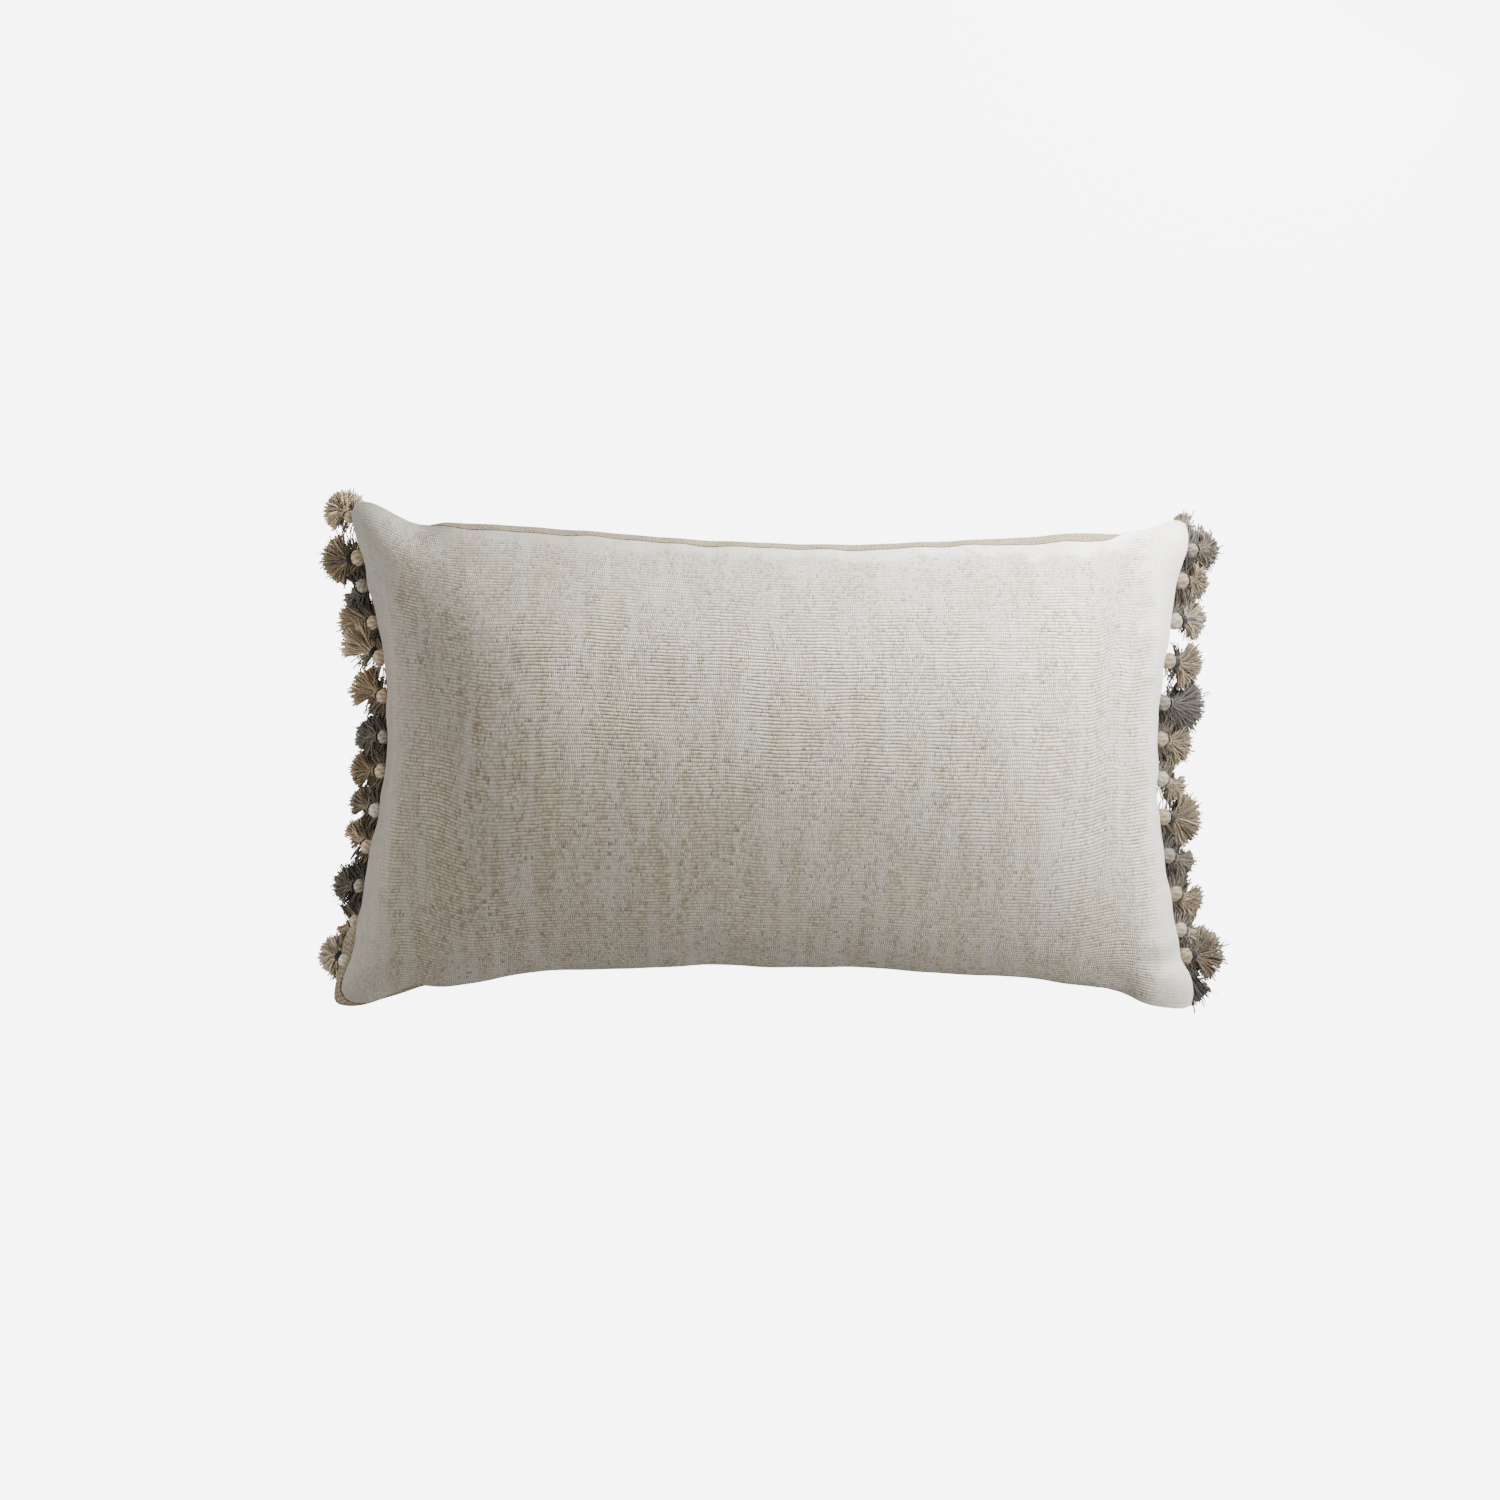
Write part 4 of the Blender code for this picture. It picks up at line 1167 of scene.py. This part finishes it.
def make_tape(name, side, edge, finish):
    """The woven tape sewn into a short seam, up to the cover's edge."""
    y = np.linspace(edge[0, 1] + 0.002 * np.sign(edge[-1, 1] - edge[0, 1]), edge[-1, 1] * 0.99, 200)
    order = np.argsort(edge[:, 1])
    seam = np.interp(y, edge[order, 1], edge[order, 0])
    across = 6
    half_thick = 0.00035
    scallop = 0.0002 * np.cos(2 * math.pi * y / 0.0016)
    rows = []
    for k in range(across + 1):
        share = k / across
        x = seam + side * (-0.0048 + 0.0042 * share) + side * scallop * (k == across)
        rows.append(np.stack([x, y, np.full_like(y, SEAM_Z)], axis=1))
    top, low = np.array(rows), np.array(rows)
    top[:, :, 2] += half_thick
    low[:, :, 2] -= half_thick
    upper = np.arange(top.shape[0] * top.shape[1]).reshape(top.shape[:2])
    lower = upper + upper.size
    faces = [grid_faces(upper), grid_faces(lower)[:, ::-1]]
    seams = (
        (upper[:, 0], lower[:, 0]),
        (lower[:, -1], upper[:, -1]),
        (lower[0], upper[0]),
        (upper[-1], lower[-1]),
    )
    for a, b in seams:
        faces.append(np.stack([a[:-1], b[:-1], b[1:], a[1:]], axis=1))
    points = np.concatenate([top.reshape(-1, 3), low.reshape(-1, 3)])
    tape = mesh_from(name + "_cloth", points, np.concatenate(faces))
    lay_pattern(tape, points[:, :2])
    tape.data.materials.append(finish)
    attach(tape, "cover")
    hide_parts(name)


# ---- Insert ----


def inset(front, back, depth):
    """The cover's panels moved in by depth and drawn back from the seams."""
    made = []
    for grid in (front, back):
        centre = np.array([0.0, 0.0, SEAM_Z])
        shrink = np.array([1.0 - (0.010 + depth) / 0.25, 1.0 - (0.010 + depth) / 0.14, 1.0 - depth / CROWN])
        moved = centre + (grid - centre) * shrink
        moved[:, :, 2] = np.maximum(moved[:, :, 2], depth)
        made.append(moved)
    return made


def make_insert(front, back, cotton, fibre):
    flat = flat_positions()
    casing = inset(front, back, 0.0030)
    for name, grid, pattern, node in (
        ("insert_casing_front_cloth", casing[0], flat, "insert_casing_front"),
        ("insert_casing_back_cloth", casing[1], flat[:, ::-1], "insert_casing_back"),
    ):
        index = np.arange(grid.shape[0] * grid.shape[1]).reshape(grid.shape[:2])
        piece = mesh_from(name, grid.reshape(-1, 3), grid_faces(index))
        lay_pattern(piece, pattern.reshape(-1, 2))
        piece.data.materials.append(cotton)
        piece.data.shade_smooth()
        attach(piece, "cover")
        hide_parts(node)
    index_front, index_back = cover_indices()
    points = np.zeros((index_back.max() + 1, 3))
    inner = inset(front, back, 0.0060)
    points[index_back] = inner[1]
    points[index_front] = inner[0]
    faces = np.concatenate([grid_faces(index_front), grid_faces(index_back)])
    filling = mesh_from("filling_fibre", points, faces)
    filling.data.materials.append(fibre)
    filling.data.shade_smooth()
    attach(filling, "cover")
    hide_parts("filling")


# ---- Stage ----


# Soft boxes as (name, place, size, power): a key low at the top right, one at the right, and two wide fills
STUDIO_LIGHTS = (
    ("key_light", (0.27, 0.47, 0.175), 0.34, 9.2),
    ("side_light", (0.45, 0.04, 0.375), 0.34, 4.1),
    ("near_light", (0.46, -1.70, 0.43), 0.80, 7.2),
    ("rear_light", (-1.52, 0.88, 0.43), 0.80, 4.1),
    ("far_light", (-0.53, -0.05, 0.19), 0.30, 0.8),
)
FLOOR_GLOW = 7.0
SKY_GLOW = 0.28


def make_stage():
    """A pale lit floor, a faint sky and soft boxes aimed at the pillow."""
    side = 12.0
    floor = mesh_from(
        "studio_floor",
        [(-side, -side, 0.0), (side, -side, 0.0), (side, side, 0.0), (-side, side, 0.0)],
        [(0, 1, 2, 3)],
    )
    paper = Finish("studio_paper", 0.9)
    paper.shader.inputs["Base Color"].default_value = (0.05, 0.05, 0.05, 1.0)
    paper.shader.inputs["Emission Color"].default_value = (1.0, 1.0, 1.0, 1.0)
    paper.shader.inputs["Emission Strength"].default_value = FLOOR_GLOW
    floor.data.materials.append(paper.material)
    floor.location.z = -0.0003
    floor.visible_diffuse = False
    floor.visible_glossy = False
    world = bpy.data.worlds.new("studio_air")
    world.use_nodes = True
    world.node_tree.nodes["Background"].inputs[0].default_value = (1.0, 1.0, 1.0, 1.0)
    world.node_tree.nodes["Background"].inputs[1].default_value = SKY_GLOW
    bpy.context.scene.world = world
    aim = Vector((0.0, 0.0, SEAM_Z))
    for name, place, size, power in STUDIO_LIGHTS:
        lamp = bpy.data.lights.new(name, "AREA")
        lamp.shape = "SQUARE"
        lamp.size = size
        lamp.energy = power
        made = bpy.data.objects.new(name, lamp)
        made.location = place
        made.rotation_euler = (Vector(place) - aim).to_track_quat("Z", "Y").to_euler()
        made.visible_camera = False
        bpy.context.scene.collection.objects.link(made)


def make_camera():
    """Straight above, so that 0.901 m of the seam plane fills the frame."""
    lens = bpy.data.cameras.new("camera")
    lens.lens = 85.0
    lens.sensor_width = 36.0
    framed = 0.901
    camera = bpy.data.objects.new("camera", lens)
    camera.location = (-0.0126, 0.0018, SEAM_Z + framed * lens.lens / lens.sensor_width)
    bpy.context.scene.collection.objects.link(camera)
    bpy.context.scene.camera = camera


# ---- Build ----

make_camera()
make_stage()

front_form, back_form = base_form()
front_form, back_form = fill_cover(front_form, back_form)
lie_down(back_form)
add_folds(front_form)
bulge_corner(back_form)
pattern_flat = flat_positions()
pucker(front_form, pattern_flat)
pucker(back_form, pattern_flat[:, ::-1])
front_form[:, ROWS] = back_form[:, 0] = 0.5 * (front_form[:, ROWS] + back_form[:, 0])
front_form[:, 0] = back_form[:, ROWS] = 0.5 * (front_form[:, 0] + back_form[:, ROWS])
front_form[0] = 0.5 * (front_form[0] + back_form[0, ::-1])
back_form[0] = front_form[0, ::-1]
front_form[COLUMNS] = 0.5 * (front_form[COLUMNS] + back_form[COLUMNS, ::-1])
back_form[COLUMNS] = front_form[COLUMNS, ::-1]

inward_dirs, across_dirs = seam_frames(front_form, back_form)
cover_front = panel_object(
    "cover_front_cloth", front_form, pattern_flat, inward_dirs, across_dirs, 1.0, False
)
apply_subdivision(cover_front, 2)
cover_front.data.materials.append(chenille())
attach(cover_front, "cover")
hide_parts("cover_front_panel")

coarse_loop = boundary_loop(COLUMNS, ROWS)
lookup = {(int(i), int(j)): k for k, (i, j) in enumerate(coarse_loop)}
mirrored = np.array([lookup[(int(i), ROWS - int(j))] for i, j in coarse_loop])
linen = woven("back_linen", rgb(184, 168, 142), rgb(122, 106, 82), 0.0013, 0.0014, 0.0005)
cover_back = panel_object(
    "cover_back_cloth",
    back_form,
    pattern_flat,
    inward_dirs[mirrored],
    across_dirs[mirrored],
    -1.0,
    True,
)
apply_subdivision(cover_back, 2)
cover_back.data.materials.append(linen)
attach(cover_back, "cover")
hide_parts("cover_back_panel")

cotton = woven("casing_cotton", rgb(236, 234, 228), rgb(214, 211, 204), 0.0005, 0.0005, 0.00015)
fibre = plain("fibre_filling", rgb(240, 240, 238), 0.95, 0.0, 220.0, 0.003)
make_insert(front_form, back_form, cotton, fibre)

tape_finish = woven("trim_tape", rgb(206, 192, 168), rgb(170, 152, 124), 0.0008, 0.0008, 0.0003)
make_tape("trim_tape_left", -1.0, front_form[0], tape_finish)
make_tape("trim_tape_right", 1.0, front_form[COLUMNS], tape_finish)

yarns = {"yarn_" + word: yarn("yarn_" + word, colour) for word, colour in YARN_COLOURS.items()}
heads = {word: yarn("head_" + word, colour, 0.62) for word, colour in HEAD_COLOURS.items()}
thread = yarn("wrap_thread", rgb(30, 31, 38), 0.5)
make_tassels("left", -1.0, LEFT_TASSELS, yarns, heads, thread, front_form[0])
make_tassels("right", 1.0, RIGHT_TASSELS, yarns, heads, thread, front_form[COLUMNS])

zip_tape = plain("zip_tape", rgb(196, 184, 162), 0.9, 0.0, 1800.0, 0.0002)
zip_coil = plain("zip_coil", rgb(188, 176, 154), 0.45, 0.0, 1500.0, 0.0001)
zip_metal = plain("zip_metal", rgb(150, 132, 98), 0.35, 1.0, 900.0, 0.0001)
for node, slot in ((row["node"], row["material_slot"]) for row in frame["record"]["subparts"]):
    for word, finish in (("zip_tape", zip_tape), ("zip_coil", zip_coil), ("zip_metal", zip_metal)):
        if slot == word:
            frame["nodes"][node].data.materials.clear()
            frame["nodes"][node].data.materials.append(finish)
